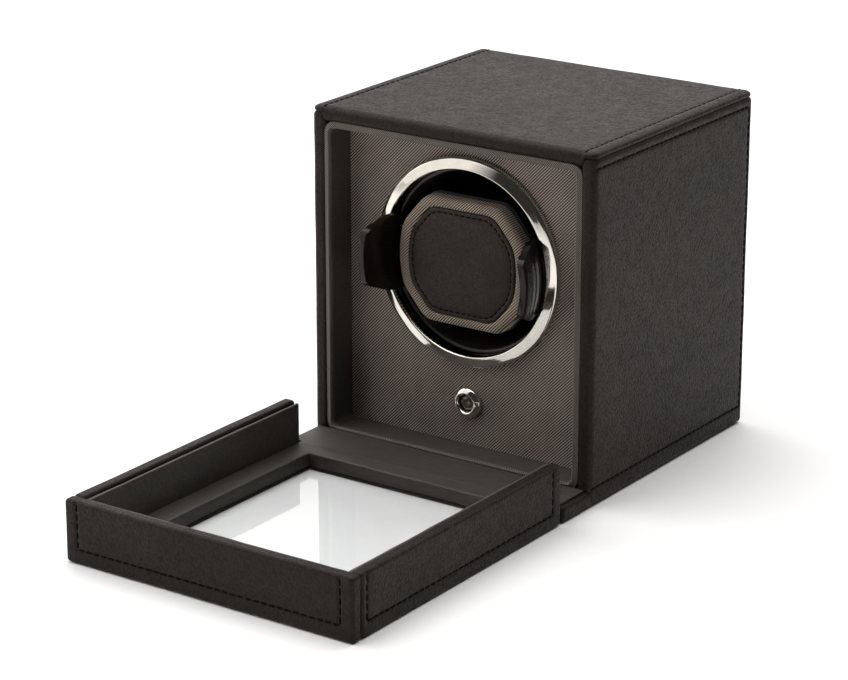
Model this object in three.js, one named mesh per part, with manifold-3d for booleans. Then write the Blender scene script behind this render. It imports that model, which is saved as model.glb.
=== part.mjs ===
// Single watch winder box with a drop-down glazed cover.
// Millimetres. Origin: centre of the case's footprint, on the surface it stands on.
// +X right, +Y towards the back, +Z up. The front faces -Y and the cover lies open in front of it.

import * as THREE from 'three';
import { RoundedBoxGeometry } from 'three/addons/geometries/RoundedBoxGeometry.js';
import { mergeVertices } from 'three/addons/utils/BufferGeometryUtils.js';
import Module from 'manifold-3d';

const wasm = await Module();
wasm.setup();

// ---------- driving dimensions ----------

const GAP = 0.3; // clearance between two pieces that meet
const ROUND = 48; // flats around a large round piece
const SMALL_ROUND = 20; // flats around a small one

const CASE_WIDTH = 140;
const CASE_DEPTH = 128;
const CASE_HEIGHT = 151;
const BOARD = 7; // thickness of a leather-wrapped board
const BOARD_EDGE = 1.4; // radius of its rolled edges
const LEDGE = 20; // how far the base reaches out in front of the case
const RECESS = 15; // from the case's front down to the front plate
const SLEEVE_LINING = 1.7; // thickness of the opening's frame
const SLEEVE_CORNER = 3;

const HALF_WIDTH = CASE_WIDTH / 2;
const FRONT = -CASE_DEPTH / 2;
const BACK = CASE_DEPTH / 2;
const INNER_HALF = HALF_WIDTH - BOARD - GAP;
const INNER_BOTTOM = BOARD + GAP;
const INNER_TOP = CASE_HEIGHT - BOARD - GAP;

const HINGE_Y = FRONT - LEDGE;
const HINGE_Z = BOARD;
const COVER_DEPTH = BOARD + LEDGE - 0.5; // leaves 0.5 between the closed rim and the case
const COVER_LENGTH = CASE_HEIGHT - BOARD;
const COVER_WALL = 5.6;
const COVER_LINING = 1.6;
const WALL_START = 1.2; // side walls start beyond the hinge line, to clear the ledge's cloth
const WINDOW_HALF = 51.5;
const WINDOW_NEAR = 9.5; // from the hinge line to the window
const WINDOW_FAR = 125.5;
const GLASS_LIP = 0.6;
const GLASS_THICK = 1.2;
const CLOTH = 0.7;
const HINGE_CLOTH = 4; // how far the hinge cloth reaches onto the cover

const AXIS_Z = 90.2; // height of the drum's axis
const PLATE_FRONT = FRONT + RECESS;
const PLATE_THICK = 3;
const PLATE_BACK = PLATE_FRONT + PLATE_THICK;
const PLATE_HOLE = 42.3;
const RING_OUTER = 45.6;
const RING_INNER = 40;
const RING_RISE = 3.8;

const CUP_INNER = 38.6;
const CUP_OUTER = 40.2;
const CUP_RIM = PLATE_BACK - 1;
const CUP_FLOOR = 8;
const CUP_BACK = 10;
const HUB_RADIUS = 4;
const HUB_END = 26.5;
const HOUSING_INNER = 41.4;
const HOUSING_OUTER = 45;
const HOUSING_FLANGE = 50;
const HOUSING_BACK = 14;
const HOUSING_WINDOW = 24; // half the width of a window in the housing's wall
const HOUSING_RIM = 4; // wall left whole behind the flange, where the windows begin

const GEAR_MODULE = 1;
const DRUM_TEETH = 48;
const PINION_TEETH = 12;
const GEAR_FRONT = 17;
const GEAR_WIDTH = 7;
const PINION_Z = AXIS_Z - (GEAR_MODULE * (DRUM_TEETH + PINION_TEETH)) / 2;
const PINION_SHAFT = 1.5;
const BRACKET_FRONT = 27.5;
const BRACKET_THICK = 2;
const BRACKET_HALF = 22;
const BRACKET_TOP = 78;
const BRACKET_FOOT_END = 46;
const FOOT_SCREW_X = [-15, 15];
const FOOT_SCREW_Y = 38;
const FOOT_SCREW_GRIP = 4; // how deep the foot screws' holes go into the base
const GEARBOX_LENGTH = 12;
const MOTOR_RADIUS = 10;
const MOTOR_BACK = 55.2;

const BUTTON_Z = 28;
const BEZEL_RADIUS = 7;
const BUTTON_RADIUS = 3.4;
const SLEEVE_RADIUS = 5.9;

const CAP_FRONT = FRONT + 9;
const CAP_THICK = 7;
const CAP_BACK = CAP_FRONT + CAP_THICK;
const PATCH_DEPTH = 1.5;
const CORE_FRONT = CAP_BACK + 3.1;
const CORE_BACK = -14;
const WING_PIVOT_X = 31.5;
const WING_PIVOT_Y = -8;
const WING_TIP = FRONT - 6.3;
const WING_END = -4;
const WING_RADIUS = 42; // outside, at the tip
const WING_FLARE = 0.14; // how fast it narrows from there towards the ring
const WING_SEAT = 38.2; // outside radius within the cup
const WING_HALF_HEIGHT = 14.2; // within the cup
const WING_PIN = 1;
const RIBS = 5;
const RIB_PITCH = 3.6;
const RIB = 0.45;
const CAP_HALF = 33.2;
const CAP_TALL = 27.5;
const PATCH_HALF = 27.6;
const PATCH_TALL = 23.1;
const CORE_HALF = 27;
const CORE_TALL = 22;
const CORE_WALL = 3;

const SCREW_SHANK = 1.1;
const SCREW_HOLE = 1.45;
const MAGNET_RADIUS = 2;
const MAGNET_HEIGHT = 2;
const MAGNET_SINK = 1.7; // below the leather's face
const MAGNET_X = 45;
const INLET_X = -30;
const INLET_Z = 25;
const INLET_HOLE = 4.2;
const JACK_BORE = 2.9;
const JACK_PIN = 0.9;
const RAIL_X = 28;
const RAIL_RUN = [-36, 16];
const RAIL_HEIGHT = 5.4;
const BOARD_RUN = [-37, 18];
const CIRCUIT_THICK = 1.6;

// ---------- materials ----------

const finish = {
  leather: { color: 0x2d2c2a, roughness: 0.62, metalness: 0 },
  twill: { color: 0x4a4440, roughness: 0.8, metalness: 0 },
  satin: { color: 0x4b443e, roughness: 0.7, metalness: 0 },
  chrome: { color: 0xd8d4cc, roughness: 0.08, metalness: 1 },
  steel: { color: 0xa6a6a4, roughness: 0.35, metalness: 1 },
  brass: { color: 0xb8985a, roughness: 0.35, metalness: 1 },
  matteBlack: { color: 0x1a1a1b, roughness: 0.7, metalness: 0 },
  glossBlack: { color: 0x17130f, roughness: 0.25, metalness: 0 },
  whiteNylon: { color: 0xd9d7cf, roughness: 0.5, metalness: 0 },
  board: { color: 0x8a7350, roughness: 0.85, metalness: 0 },
  circuit: { color: 0x1f5c36, roughness: 0.5, metalness: 0 },
  glass: { color: 0xdfe6e6, roughness: 0.03, metalness: 0 },
  lens: { color: 0x5a544c, roughness: 0.1, metalness: 0 },
};

const watchWinder = new THREE.Group();

function addPiece(name, finishName, geometry, parent = watchWinder) {
  const material = new THREE.MeshStandardMaterial(finish[finishName]);
  const mesh = new THREE.Mesh(geometry, material);
  mesh.name = name;
  parent.add(mesh);
  return mesh;
}

// ---------- solids ----------

function toManifold(geometry) {
  const bare = geometry.clone();
  bare.deleteAttribute('normal');
  bare.deleteAttribute('uv');
  const welded = mergeVertices(bare, 1e-4);
  const vertProperties = new Float32Array(welded.attributes.position.array);
  const triVerts = new Uint32Array(welded.index.array);
  return new wasm.Manifold(new wasm.Mesh({ numProp: 3, vertProperties, triVerts }));
}

function toGeometry(manifold) {
  const mesh = manifold.getMesh();
  const geometry = new THREE.BufferGeometry();
  geometry.setAttribute('position', new THREE.BufferAttribute(mesh.vertProperties, 3));
  geometry.setIndex(new THREE.BufferAttribute(mesh.triVerts, 1));
  geometry.computeVertexNormals();
  return geometry;
}

function cut(base, ...tools) {
  return toGeometry(tools.reduce((solid, tool) => solid.subtract(toManifold(tool)), toManifold(base)));
}

function join(base, ...others) {
  return toGeometry(others.reduce((solid, other) => solid.add(toManifold(other)), toManifold(base)));
}

function overlap(first, second) {
  return toGeometry(toManifold(first).intersect(toManifold(second)));
}

function block([x0, x1], [y0, y1], [z0, z1]) {
  const geometry = new THREE.BoxGeometry(x1 - x0, y1 - y0, z1 - z0);
  return geometry.translate((x0 + x1) / 2, (y0 + y1) / 2, (z0 + z1) / 2);
}

// A leather-wrapped board, whose edges are rolled over.
function board([x0, x1], [y0, y1], [z0, z1]) {
  const geometry = new RoundedBoxGeometry(x1 - x0, y1 - y0, z1 - z0, 2, BOARD_EDGE);
  const welded = toGeometry(toManifold(geometry));
  return welded.translate((x0 + x1) / 2, (y0 + y1) / 2, (z0 + z1) / 2);
}

// A shape drawn in X and Z, made solid from y0 to y1.
function slab(shape, y0, y1, bevel = 0) {
  const geometry = new THREE.ExtrudeGeometry(shape, {
    depth: y1 - y0 - 2 * bevel,
    bevelEnabled: bevel > 0,
    bevelThickness: bevel,
    bevelSize: bevel,
    bevelOffset: -bevel,
    bevelSegments: 2,
    curveSegments: 4,
  });
  return geometry.rotateX(Math.PI / 2).translate(0, y1 - bevel, 0);
}

// A shape drawn with its first coordinate towards -Y and its second along Z, made solid from x0 to x1.
function alongX(shape, x0, x1) {
  const geometry = new THREE.ExtrudeGeometry(shape, { depth: x1 - x0, bevelEnabled: false });
  const turn = new THREE.Matrix4().makeBasis(
    new THREE.Vector3(0, -1, 0),
    new THREE.Vector3(0, 0, 1),
    new THREE.Vector3(-1, 0, 0),
  );
  return geometry.applyMatrix4(turn).translate(x1, 0, 0);
}

// A profile of [radius, y] points, turned about the Y axis.
function turned(profile, segments) {
  const points = profile.map(([radius, y]) => new THREE.Vector2(radius, y));
  const onAxis = profile[0][0] === 0 && profile.at(-1)[0] === 0;
  if (!onAxis) points.push(points[0].clone());
  if (THREE.ShapeUtils.area(points) < 0) points.reverse();
  return new THREE.LatheGeometry(points, segments);
}

function rod(radius, y0, y1, segments = 12) {
  return new THREE.CylinderGeometry(radius, radius, y1 - y0, segments).translate(0, (y0 + y1) / 2, 0);
}

function uprightRod(radius, z0, z1, segments = 12) {
  return rod(radius, z0, z1, segments).rotateX(Math.PI / 2);
}

function rectangle(halfWidth, z0, z1, radius = 0) {
  const corners = [
    [-halfWidth, z0, radius],
    [halfWidth, z0, radius],
    [halfWidth, z1, radius],
    [-halfWidth, z1, radius],
  ];
  return new THREE.Shape(outline(corners));
}

// A closed outline whose corner at each [x, z, reach] point is rounded over that reach.
function outline(corners) {
  const path = new THREE.Path();
  corners.forEach(([x, z, reach], i) => {
    const here = new THREE.Vector2(x, z);
    const before = new THREE.Vector2(...corners.at(i - 1));
    const after = new THREE.Vector2(...corners[(i + 1) % corners.length]);
    const start = here.clone().add(before.sub(here).setLength(reach));
    const end = here.clone().add(after.sub(here).setLength(reach));
    if (i === 0) path.moveTo(start.x, start.y);
    else path.lineTo(start.x, start.y);
    if (reach > 0) path.quadraticCurveTo(x, z, end.x, end.y);
  });
  path.closePath();
  return path.getPoints(4);
}

function circle(radius, x = 0, z = 0) {
  return new THREE.Path(new THREE.Path().absarc(x, z, radius, 0, 2 * Math.PI).getPoints(24));
}

function hexagon(radius) {
  const corners = [0, 1, 2, 3, 4, 5].map((i) => {
    const angle = (i * Math.PI) / 3;
    return new THREE.Vector2(radius * Math.cos(angle), radius * Math.sin(angle));
  });
  return new THREE.Shape(corners);
}

function coil(radius, wire, turns, length) {
  class Helix extends THREE.Curve {
    getPoint(t, target = new THREE.Vector3()) {
      const angle = 2 * Math.PI * turns * t;
      return target.set(radius * Math.cos(angle), length * t, radius * Math.sin(angle));
    }
  }
  return new THREE.ExtrudeGeometry(hexagon(wire), {
    extrudePath: new Helix(),
    steps: turns * 8,
    bevelEnabled: false,
  });
}

function screw(headRadius, headHeight, shankLength) {
  return turned(
    [
      [0, 0],
      [SCREW_SHANK, 0],
      [SCREW_SHANK, shankLength],
      [headRadius, shankLength],
      [headRadius, shankLength + headHeight * 0.6],
      [headRadius * 0.7, shankLength + headHeight],
      [0, shankLength + headHeight],
    ],
    10,
  );
}

// ---------- case boards ----------

function addCaseBoards() {
  const pilot = uprightRod(SCREW_HOLE, BOARD - FOOT_SCREW_GRIP, BOARD + 1);
  const footHoles = FOOT_SCREW_X.map((x) => pilot.clone().translate(x, FOOT_SCREW_Y, 0));
  const base = board([-HALF_WIDTH, HALF_WIDTH], [HINGE_Y, BACK], [0, BOARD]);
  addPiece('base_panel', 'leather', cut(base, ...footHoles));

  const sideHeights = [INNER_BOTTOM, INNER_TOP];
  const sideDepth = [FRONT, BACK];
  addPiece('side_panel_left', 'leather', board([-HALF_WIDTH, -HALF_WIDTH + BOARD], sideDepth, sideHeights));
  addPiece('side_panel_right', 'leather', board([HALF_WIDTH - BOARD, HALF_WIDTH], sideDepth, sideHeights));

  const top = board([-HALF_WIDTH, HALF_WIDTH], sideDepth, [CASE_HEIGHT - BOARD, CASE_HEIGHT]);
  const magnetZ = HINGE_Z + COVER_LENGTH - COVER_WALL / 2;
  const magnetBack = FRONT + MAGNET_SINK + MAGNET_HEIGHT;
  const pocket = rod(MAGNET_RADIUS + GAP, FRONT - 1, magnetBack + GAP);
  const pockets = [-MAGNET_X, MAGNET_X].map((x) => pocket.clone().translate(x, 0, magnetZ));
  addPiece('top_panel', 'leather', cut(top, ...pockets));

  const back = rectangle(INNER_HALF, INNER_BOTTOM, INNER_TOP);
  back.holes.push(circle(INLET_HOLE, INLET_X, INLET_Z));
  addPiece('back_panel', 'leather', slab(back, BACK - BOARD, BACK));

  for (const [side, x] of [['left', -MAGNET_X], ['right', MAGNET_X]]) {
    const magnet = rod(MAGNET_RADIUS, FRONT + MAGNET_SINK, magnetBack);
    addPiece(`case_magnet_${side}`, 'steel', magnet).position.set(x, 0, magnetZ);
  }
}

// ---------- front opening, plate and ring ----------

function addFront() {
  const sleeve = rectangle(INNER_HALF, INNER_BOTTOM, INNER_TOP);
  const inside = [INNER_HALF - SLEEVE_LINING, INNER_BOTTOM + SLEEVE_LINING, INNER_TOP - SLEEVE_LINING];
  sleeve.holes.push(rectangle(...inside, SLEEVE_CORNER));
  addPiece('opening_frame', 'twill', slab(sleeve, FRONT, PLATE_FRONT - GAP));

  const screwHoles = housingScrewPlaces().map(([x, z]) =>
    rod(SCREW_HOLE, PLATE_BACK - 2, PLATE_BACK + 1, 10).translate(x, 0, z),
  );
  const drumHole = rod(PLATE_HOLE, PLATE_FRONT - 1, PLATE_BACK + 1, ROUND).translate(0, 0, AXIS_Z);
  const buttonHole = rod(SLEEVE_RADIUS + GAP, PLATE_FRONT - 1, PLATE_BACK + 1, 20).translate(0, 0, BUTTON_Z);
  const plate = block([-INNER_HALF, INNER_HALF], [PLATE_FRONT, PLATE_BACK], [INNER_BOTTOM, INNER_TOP]);
  addPiece('front_plate', 'twill', cut(plate, drumHole, buttonHole, ...screwHoles));

  const seat = PLATE_FRONT - GAP;
  const crest = seat - RING_RISE;
  const ring = turned(
    [
      [RING_OUTER, seat],
      [RING_OUTER, seat - 0.9],
      [RING_OUTER - 0.7, crest + 1.4],
      [RING_OUTER - 2, crest + 0.3],
      [RING_OUTER - 3.2, crest],
      [RING_INNER + 1, crest + 0.7],
      [RING_INNER, crest + 1.9],
      [RING_INNER, seat - 0.4],
      [CUP_OUTER + 0.7, seat],
      [CUP_OUTER + 0.7, PLATE_BACK],
      [PLATE_HOLE - 0.4, PLATE_BACK],
      [PLATE_HOLE - 0.4, seat],
    ],
    ROUND,
  );
  addPiece('bezel_ring', 'chrome', ring).position.z = AXIS_Z;
}

// ---------- drum housing, bearing and drive ----------

function housingScrewPlaces() {
  const radius = (HOUSING_OUTER + HOUSING_FLANGE) / 2;
  return [45, 135, 225, 315].map((degrees) => {
    const angle = THREE.MathUtils.degToRad(degrees);
    return [radius * Math.cos(angle), AXIS_Z + radius * Math.sin(angle)];
  });
}

function addHousing() {
  const flangeFront = PLATE_BACK + GAP;
  const flangeBack = flangeFront + 2;
  const bushSeat = 7.4;
  const shell = turned(
    [
      [bushSeat, HOUSING_BACK],
      [HOUSING_OUTER, HOUSING_BACK],
      [HOUSING_OUTER, flangeBack],
      [HOUSING_FLANGE, flangeBack],
      [HOUSING_FLANGE, flangeFront],
      [HOUSING_INNER, flangeFront],
      [HOUSING_INNER, HOUSING_BACK - 2],
      [bushSeat, HOUSING_BACK - 2],
    ],
    ROUND,
  ).translate(0, 0, AXIS_Z);
  const holes = housingScrewPlaces().map(([x, z]) =>
    rod(SCREW_HOLE, flangeFront - 1, flangeBack + 1, 10).translate(x, 0, z),
  );
  const across = [-HOUSING_FLANGE, HOUSING_FLANGE];
  const narrow = [-HOUSING_WINDOW, HOUSING_WINDOW];
  const windowRun = [flangeBack + HOUSING_RIM, HOUSING_BACK - 2];
  const sideWindows = block(across, windowRun, narrow).translate(0, 0, AXIS_Z);
  const endWindows = block(narrow, windowRun, across).translate(0, 0, AXIS_Z);
  addPiece('drum_housing', 'matteBlack', cut(shell, ...holes, sideWindows, endWindows));

  const shank = 4.1;
  housingScrewPlaces().forEach(([x, z], i) => {
    const piece = addPiece(`housing_screw_${i + 1}`, 'steel', screw(2.4, 1.6, shank));
    piece.position.set(x, flangeBack + GAP - shank, z);
  });

  const bush = turned(
    [
      [HUB_RADIUS + GAP, HOUSING_BACK - 2.3],
      [bushSeat - GAP, HOUSING_BACK - 2.3],
      [bushSeat - GAP, HOUSING_BACK + GAP],
      [9, HOUSING_BACK + GAP],
      [9, HOUSING_BACK + 1.8],
      [HUB_RADIUS + GAP, HOUSING_BACK + 1.8],
    ],
    SMALL_ROUND,
  );
  addPiece('bearing_bush', 'brass', bush).position.z = AXIS_Z;
}

function addMotor() {
  const footTop = INNER_BOTTOM + GAP + BRACKET_THICK;
  const bracketBack = BRACKET_FRONT + BRACKET_THICK;
  const across = [-BRACKET_HALF, BRACKET_HALF];
  const plate = block(across, [BRACKET_FRONT, bracketBack], [INNER_BOTTOM, BRACKET_TOP]);
  const foot = block(across, [BRACKET_FRONT, BRACKET_FOOT_END], [INNER_BOTTOM, footTop]);
  const shaftHole = rod(2 * PINION_SHAFT, BRACKET_FRONT - 1, bracketBack + 1).translate(0, 0, PINION_Z);
  const footHole = uprightRod(SCREW_HOLE, INNER_BOTTOM - 1, footTop + 1);
  const footHoles = FOOT_SCREW_X.map((x) => footHole.clone().translate(x, FOOT_SCREW_Y, 0));
  addPiece('motor_bracket', 'steel', cut(join(plate, foot), shaftHole, ...footHoles));

  const footShank = 6;
  ['left', 'right'].forEach((side, i) => {
    const upright = screw(2.6, 1.6, footShank).rotateX(Math.PI / 2);
    const piece = addPiece(`bracket_screw_${side}`, 'steel', upright);
    piece.position.set(FOOT_SCREW_X[i], FOOT_SCREW_Y, footTop + GAP - footShank);
  });

  const gearboxFront = bracketBack + GAP;
  const gearboxBack = gearboxFront + GEARBOX_LENGTH;
  const gearbox = slab(rectangle(12, PINION_Z - 16, PINION_Z + 9, 3), gearboxFront, gearboxBack);
  const output = rod(PINION_SHAFT + GAP, gearboxFront - 1, gearboxFront + 5).translate(0, 0, PINION_Z);
  addPiece('gearbox_housing', 'matteBlack', cut(gearbox, output));

  const stub = 3;
  const motor = turned(
    [
      [0, gearboxBack + GAP],
      [MOTOR_RADIUS - 0.5, gearboxBack + GAP],
      [MOTOR_RADIUS, gearboxBack + 0.8],
      [MOTOR_RADIUS, MOTOR_BACK - 0.7],
      [MOTOR_RADIUS - 0.8, MOTOR_BACK],
      [stub, MOTOR_BACK],
      [stub, MOTOR_BACK + 1.2],
      [0, MOTOR_BACK + 1.2],
    ],
    SMALL_ROUND,
  );
  addPiece('drive_motor', 'steel', motor).position.z = PINION_Z - 4;
}

// Straight-sided gear teeth on a wheel with a bore. A tooth or a gap points straight up.
function gear(teeth, bore, gapUp) {
  const pitchRadius = (GEAR_MODULE * teeth) / 2;
  const tip = pitchRadius + 0.9 * GEAR_MODULE;
  const root = pitchRadius - 1.25 * GEAR_MODULE;
  const pitch = (2 * Math.PI) / teeth;
  const start = Math.PI / 2 + (gapUp ? pitch / 2 : 0);
  const tooth = [
    [root, -0.27],
    [tip, -0.12],
    [tip, 0.12],
    [root, 0.27],
  ];
  const points = [];
  for (let i = 0; i < teeth; i += 1) {
    for (const [radius, part] of tooth) {
      const angle = start + (i + part) * pitch;
      points.push(new THREE.Vector2(radius * Math.cos(angle), radius * Math.sin(angle)));
    }
  }
  const shape = new THREE.Shape(points);
  shape.holes.push(circle(bore));
  return slab(shape, GEAR_FRONT, GEAR_FRONT + GEAR_WIDTH);
}

function addPinion() {
  const pinion = gear(PINION_TEETH, PINION_SHAFT + GAP, true);
  addPiece('motor_pinion', 'brass', pinion).position.z = PINION_Z;
  const shaft = rod(PINION_SHAFT, GEAR_FRONT - 0.5, BRACKET_FRONT + BRACKET_THICK + 4);
  addPiece('pinion_shaft', 'steel', shaft).position.z = PINION_Z;
}

// ---------- turning drum ----------

function addDrum() {
  const groove = [HUB_END - 2.2, HUB_END - 1.1];
  const cup = turned(
    [
      [0, CUP_FLOOR],
      [CUP_INNER, CUP_FLOOR],
      [CUP_INNER, CUP_RIM + 0.5],
      [CUP_INNER + 0.5, CUP_RIM],
      [CUP_OUTER, CUP_RIM],
      [CUP_OUTER, CUP_BACK],
      [HUB_RADIUS, CUP_BACK],
      [HUB_RADIUS, groove[0]],
      [HUB_RADIUS - 0.8, groove[0]],
      [HUB_RADIUS - 0.8, groove[1]],
      [HUB_RADIUS, groove[1]],
      [HUB_RADIUS, HUB_END],
      [0, HUB_END],
    ],
    ROUND,
  );
  addPiece('rotor_cup', 'glossBlack', cup).position.z = AXIS_Z;
  addPiece('drum_gear', 'whiteNylon', gear(DRUM_TEETH, HUB_RADIUS + GAP, false)).position.z = AXIS_Z;

  const clip = new THREE.Shape();
  clip.absarc(0, 0, 6.2, -1.1, Math.PI + 1.1);
  clip.absarc(0, 0, HUB_RADIUS - 0.4, Math.PI + 1.1, -1.1, true);
  const clipPiece = slab(clip, groove[0] + 0.25, groove[1] - 0.25);
  addPiece('gear_clip', 'steel', clipPiece).position.z = AXIS_Z;
}

// ---------- push button ----------

function addButton() {
  const seat = PLATE_FRONT - GAP;
  const sleeveEnd = PLATE_BACK + 4;
  const bore = BUTTON_RADIUS + GAP;
  const bezel = turned(
    [
      [bore, seat - 1.6],
      [bore + 0.9, seat - 2.7],
      [BEZEL_RADIUS - 1.4, seat - 2.4],
      [BEZEL_RADIUS - 0.3, seat - 1.2],
      [BEZEL_RADIUS, seat],
      [SLEEVE_RADIUS, seat],
      [SLEEVE_RADIUS, sleeveEnd],
      [bore, sleeveEnd],
    ],
    SMALL_ROUND,
  );
  addPiece('button_bezel', 'chrome', bezel).position.z = BUTTON_Z;

  const nut = hexagon(9);
  nut.holes.push(circle(SLEEVE_RADIUS + GAP));
  addPiece('button_nut', 'steel', slab(nut, PLATE_BACK + GAP, PLATE_BACK + 2.8)).position.z = BUTTON_Z;

  const canFront = sleeveEnd + GAP;
  const canFloor = canFront + 3.4;
  const can = turned(
    [
      [0, canFront + 11],
      [SLEEVE_RADIUS, canFront + 11],
      [SLEEVE_RADIUS, canFront],
      [bore, canFront],
      [bore, canFloor],
      [1.7, canFloor],
      [1.7, canFloor + 3],
      [0, canFloor + 3],
    ],
    SMALL_ROUND,
  );
  addPiece('button_switch', 'matteBlack', can).position.z = BUTTON_Z;

  const capBack = sleeveEnd - 1;
  const stemEnd = canFloor + 0.6;
  const cap = turned(
    [
      [0, seat - 1.5],
      [BUTTON_RADIUS - 1.2, seat - 1.4],
      [BUTTON_RADIUS - 0.3, seat - 1],
      [BUTTON_RADIUS, seat - 0.5],
      [BUTTON_RADIUS, capBack],
      [1.3, capBack],
      [1.3, stemEnd],
      [0, stemEnd],
    ],
    SMALL_ROUND,
  );
  addPiece('power_button', 'lens', cap).position.z = BUTTON_Z;

  const wire = 0.3;
  const springStart = capBack + GAP + wire;
  const spring = coil(2.4, wire, 4, canFloor - GAP - wire - springStart);
  addPiece('button_spring', 'steel', spring).position.set(0, springStart, BUTTON_Z);
}

// ---------- electrics ----------

function addElectrics() {
  const railTop = INNER_BOTTOM + RAIL_HEIGHT;
  for (const [side, x] of [['left', -RAIL_X], ['right', RAIL_X]]) {
    const rail = block([x - 3, x + 3], RAIL_RUN, [INNER_BOTTOM, railTop]);
    addPiece(`board_rail_${side}`, 'matteBlack', rail);
  }
  const circuitHeights = [railTop + GAP, railTop + GAP + CIRCUIT_THICK];
  addPiece('control_board', 'circuit', block([-RAIL_X - 4, RAIL_X + 4], BOARD_RUN, circuitHeights));

  const mouth = BACK + 1.8;
  const socket = turned(
    [
      [0, mouth - 1.3],
      [JACK_PIN, mouth - 1.3],
      [JACK_PIN, mouth - 12],
      [JACK_BORE, mouth - 12],
      [JACK_BORE, mouth],
      [5.5, mouth],
      [5.5, BACK + GAP],
      [INLET_HOLE - GAP, BACK + GAP],
      [INLET_HOLE - GAP, BACK - 19],
      [0, BACK - 19],
    ],
    SMALL_ROUND,
  );
  addPiece('power_inlet', 'matteBlack', socket).position.set(INLET_X, 0, INLET_Z);

  const nut = hexagon(7);
  nut.holes.push(circle(INLET_HOLE));
  const nutBack = BACK - BOARD - GAP;
  addPiece('inlet_nut', 'steel', slab(nut, nutBack - 2.4, nutBack)).position.set(INLET_X, 0, INLET_Z);
}

// ---------- removable watch cuff ----------

function cuffOutline(halfWidth, halfHeight) {
  const flat = halfWidth * 0.58;
  const shoulderX = halfWidth * 0.94;
  const shoulderZ = halfHeight * 0.5;
  const corners = [
    [-flat, -halfHeight, 4],
    [flat, -halfHeight, 4],
    [shoulderX, -shoulderZ, 4],
    [halfWidth * 1.01, 0, 7],
    [shoulderX, shoulderZ, 4],
    [flat, halfHeight, 4],
    [-flat, halfHeight, 4],
    [-shoulderX, shoulderZ, 4],
    [-halfWidth * 1.01, 0, 7],
    [-shoulderX, -shoulderZ, 4],
  ];
  return new THREE.Shape(outline(corners));
}

function addCuff() {
  const cuff = new THREE.Group();
  cuff.position.z = AXIS_Z;
  watchWinder.add(cuff);

  const cap = slab(cuffOutline(CAP_HALF, CAP_TALL), CAP_FRONT, CAP_BACK, 1.8);
  const patchOutline = cuffOutline(PATCH_HALF, PATCH_TALL);
  const recessOutline = cuffOutline(PATCH_HALF + GAP, PATCH_TALL + GAP);
  const recess = slab(recessOutline, CAP_FRONT - 1, CAP_FRONT + PATCH_DEPTH);
  addPiece('cuff_cap', 'twill', cut(cap, recess), cuff);
  addPiece('cuff_patch', 'leather', slab(patchOutline, CAP_FRONT, CAP_FRONT + PATCH_DEPTH - GAP), cuff);
  const backplate = slab(cuffOutline(CAP_HALF, CAP_TALL + 0.6), CAP_BACK + GAP, CAP_BACK + 1.8);
  addPiece('cap_backplate', 'matteBlack', backplate, cuff);

  const wall = cuffOutline(CORE_HALF, CORE_TALL);
  wall.holes.push(cuffOutline(CORE_HALF - CORE_WALL, CORE_TALL - CORE_WALL));
  const tube = slab(wall, CORE_FRONT - 1, CORE_BACK);
  const nose = slab(cuffOutline(CORE_HALF, CORE_TALL), CORE_FRONT - 1, CORE_FRONT + 2);
  addPiece('cuff_core', 'matteBlack', join(tube, nose), cuff);

  addPiece('core_back_cover', 'matteBlack', cuffBackCover(), cuff);
  for (const [side, sign] of [['left', -1], ['right', 1]]) {
    const pin = addPiece(`wing_pin_${side}`, 'steel', uprightRod(WING_PIN, -16.7, 16.7), cuff);
    pin.position.set(sign * WING_PIVOT_X, WING_PIVOT_Y, 0);
    const springLength = 8;
    const spring = coil(1.9, 0.4, 4, springLength).rotateX(Math.PI / 2);
    const springPiece = addPiece(`wing_spring_${side}`, 'steel', spring, cuff);
    springPiece.position.set(sign * WING_PIVOT_X, WING_PIVOT_Y, -springLength / 2);
    addPiece(`wing_${side}`, 'glossBlack', wing(sign), cuff);
  }
}

function cuffBackCover() {
  const plate = slab(cuffOutline(CORE_HALF, CORE_TALL), CORE_BACK + GAP, CORE_BACK + 2.3);
  const solids = [];
  const holes = [];
  for (const sign of [-1, 1]) {
    for (const end of [-1, 1]) {
      const x = [17, 33.6].map((value) => sign * value).sort((a, b) => a - b);
      const z = [14.8, 16.9].map((value) => end * value).sort((a, b) => a - b);
      solids.push(block(x, [CORE_BACK + GAP, WING_PIVOT_Y + 2.6], z));
    }
    holes.push(uprightRod(WING_PIN + GAP, -20, 20).translate(sign * WING_PIVOT_X, WING_PIVOT_Y, 0));
  }
  return cut(join(plate, ...solids), ...holes);
}

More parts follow.
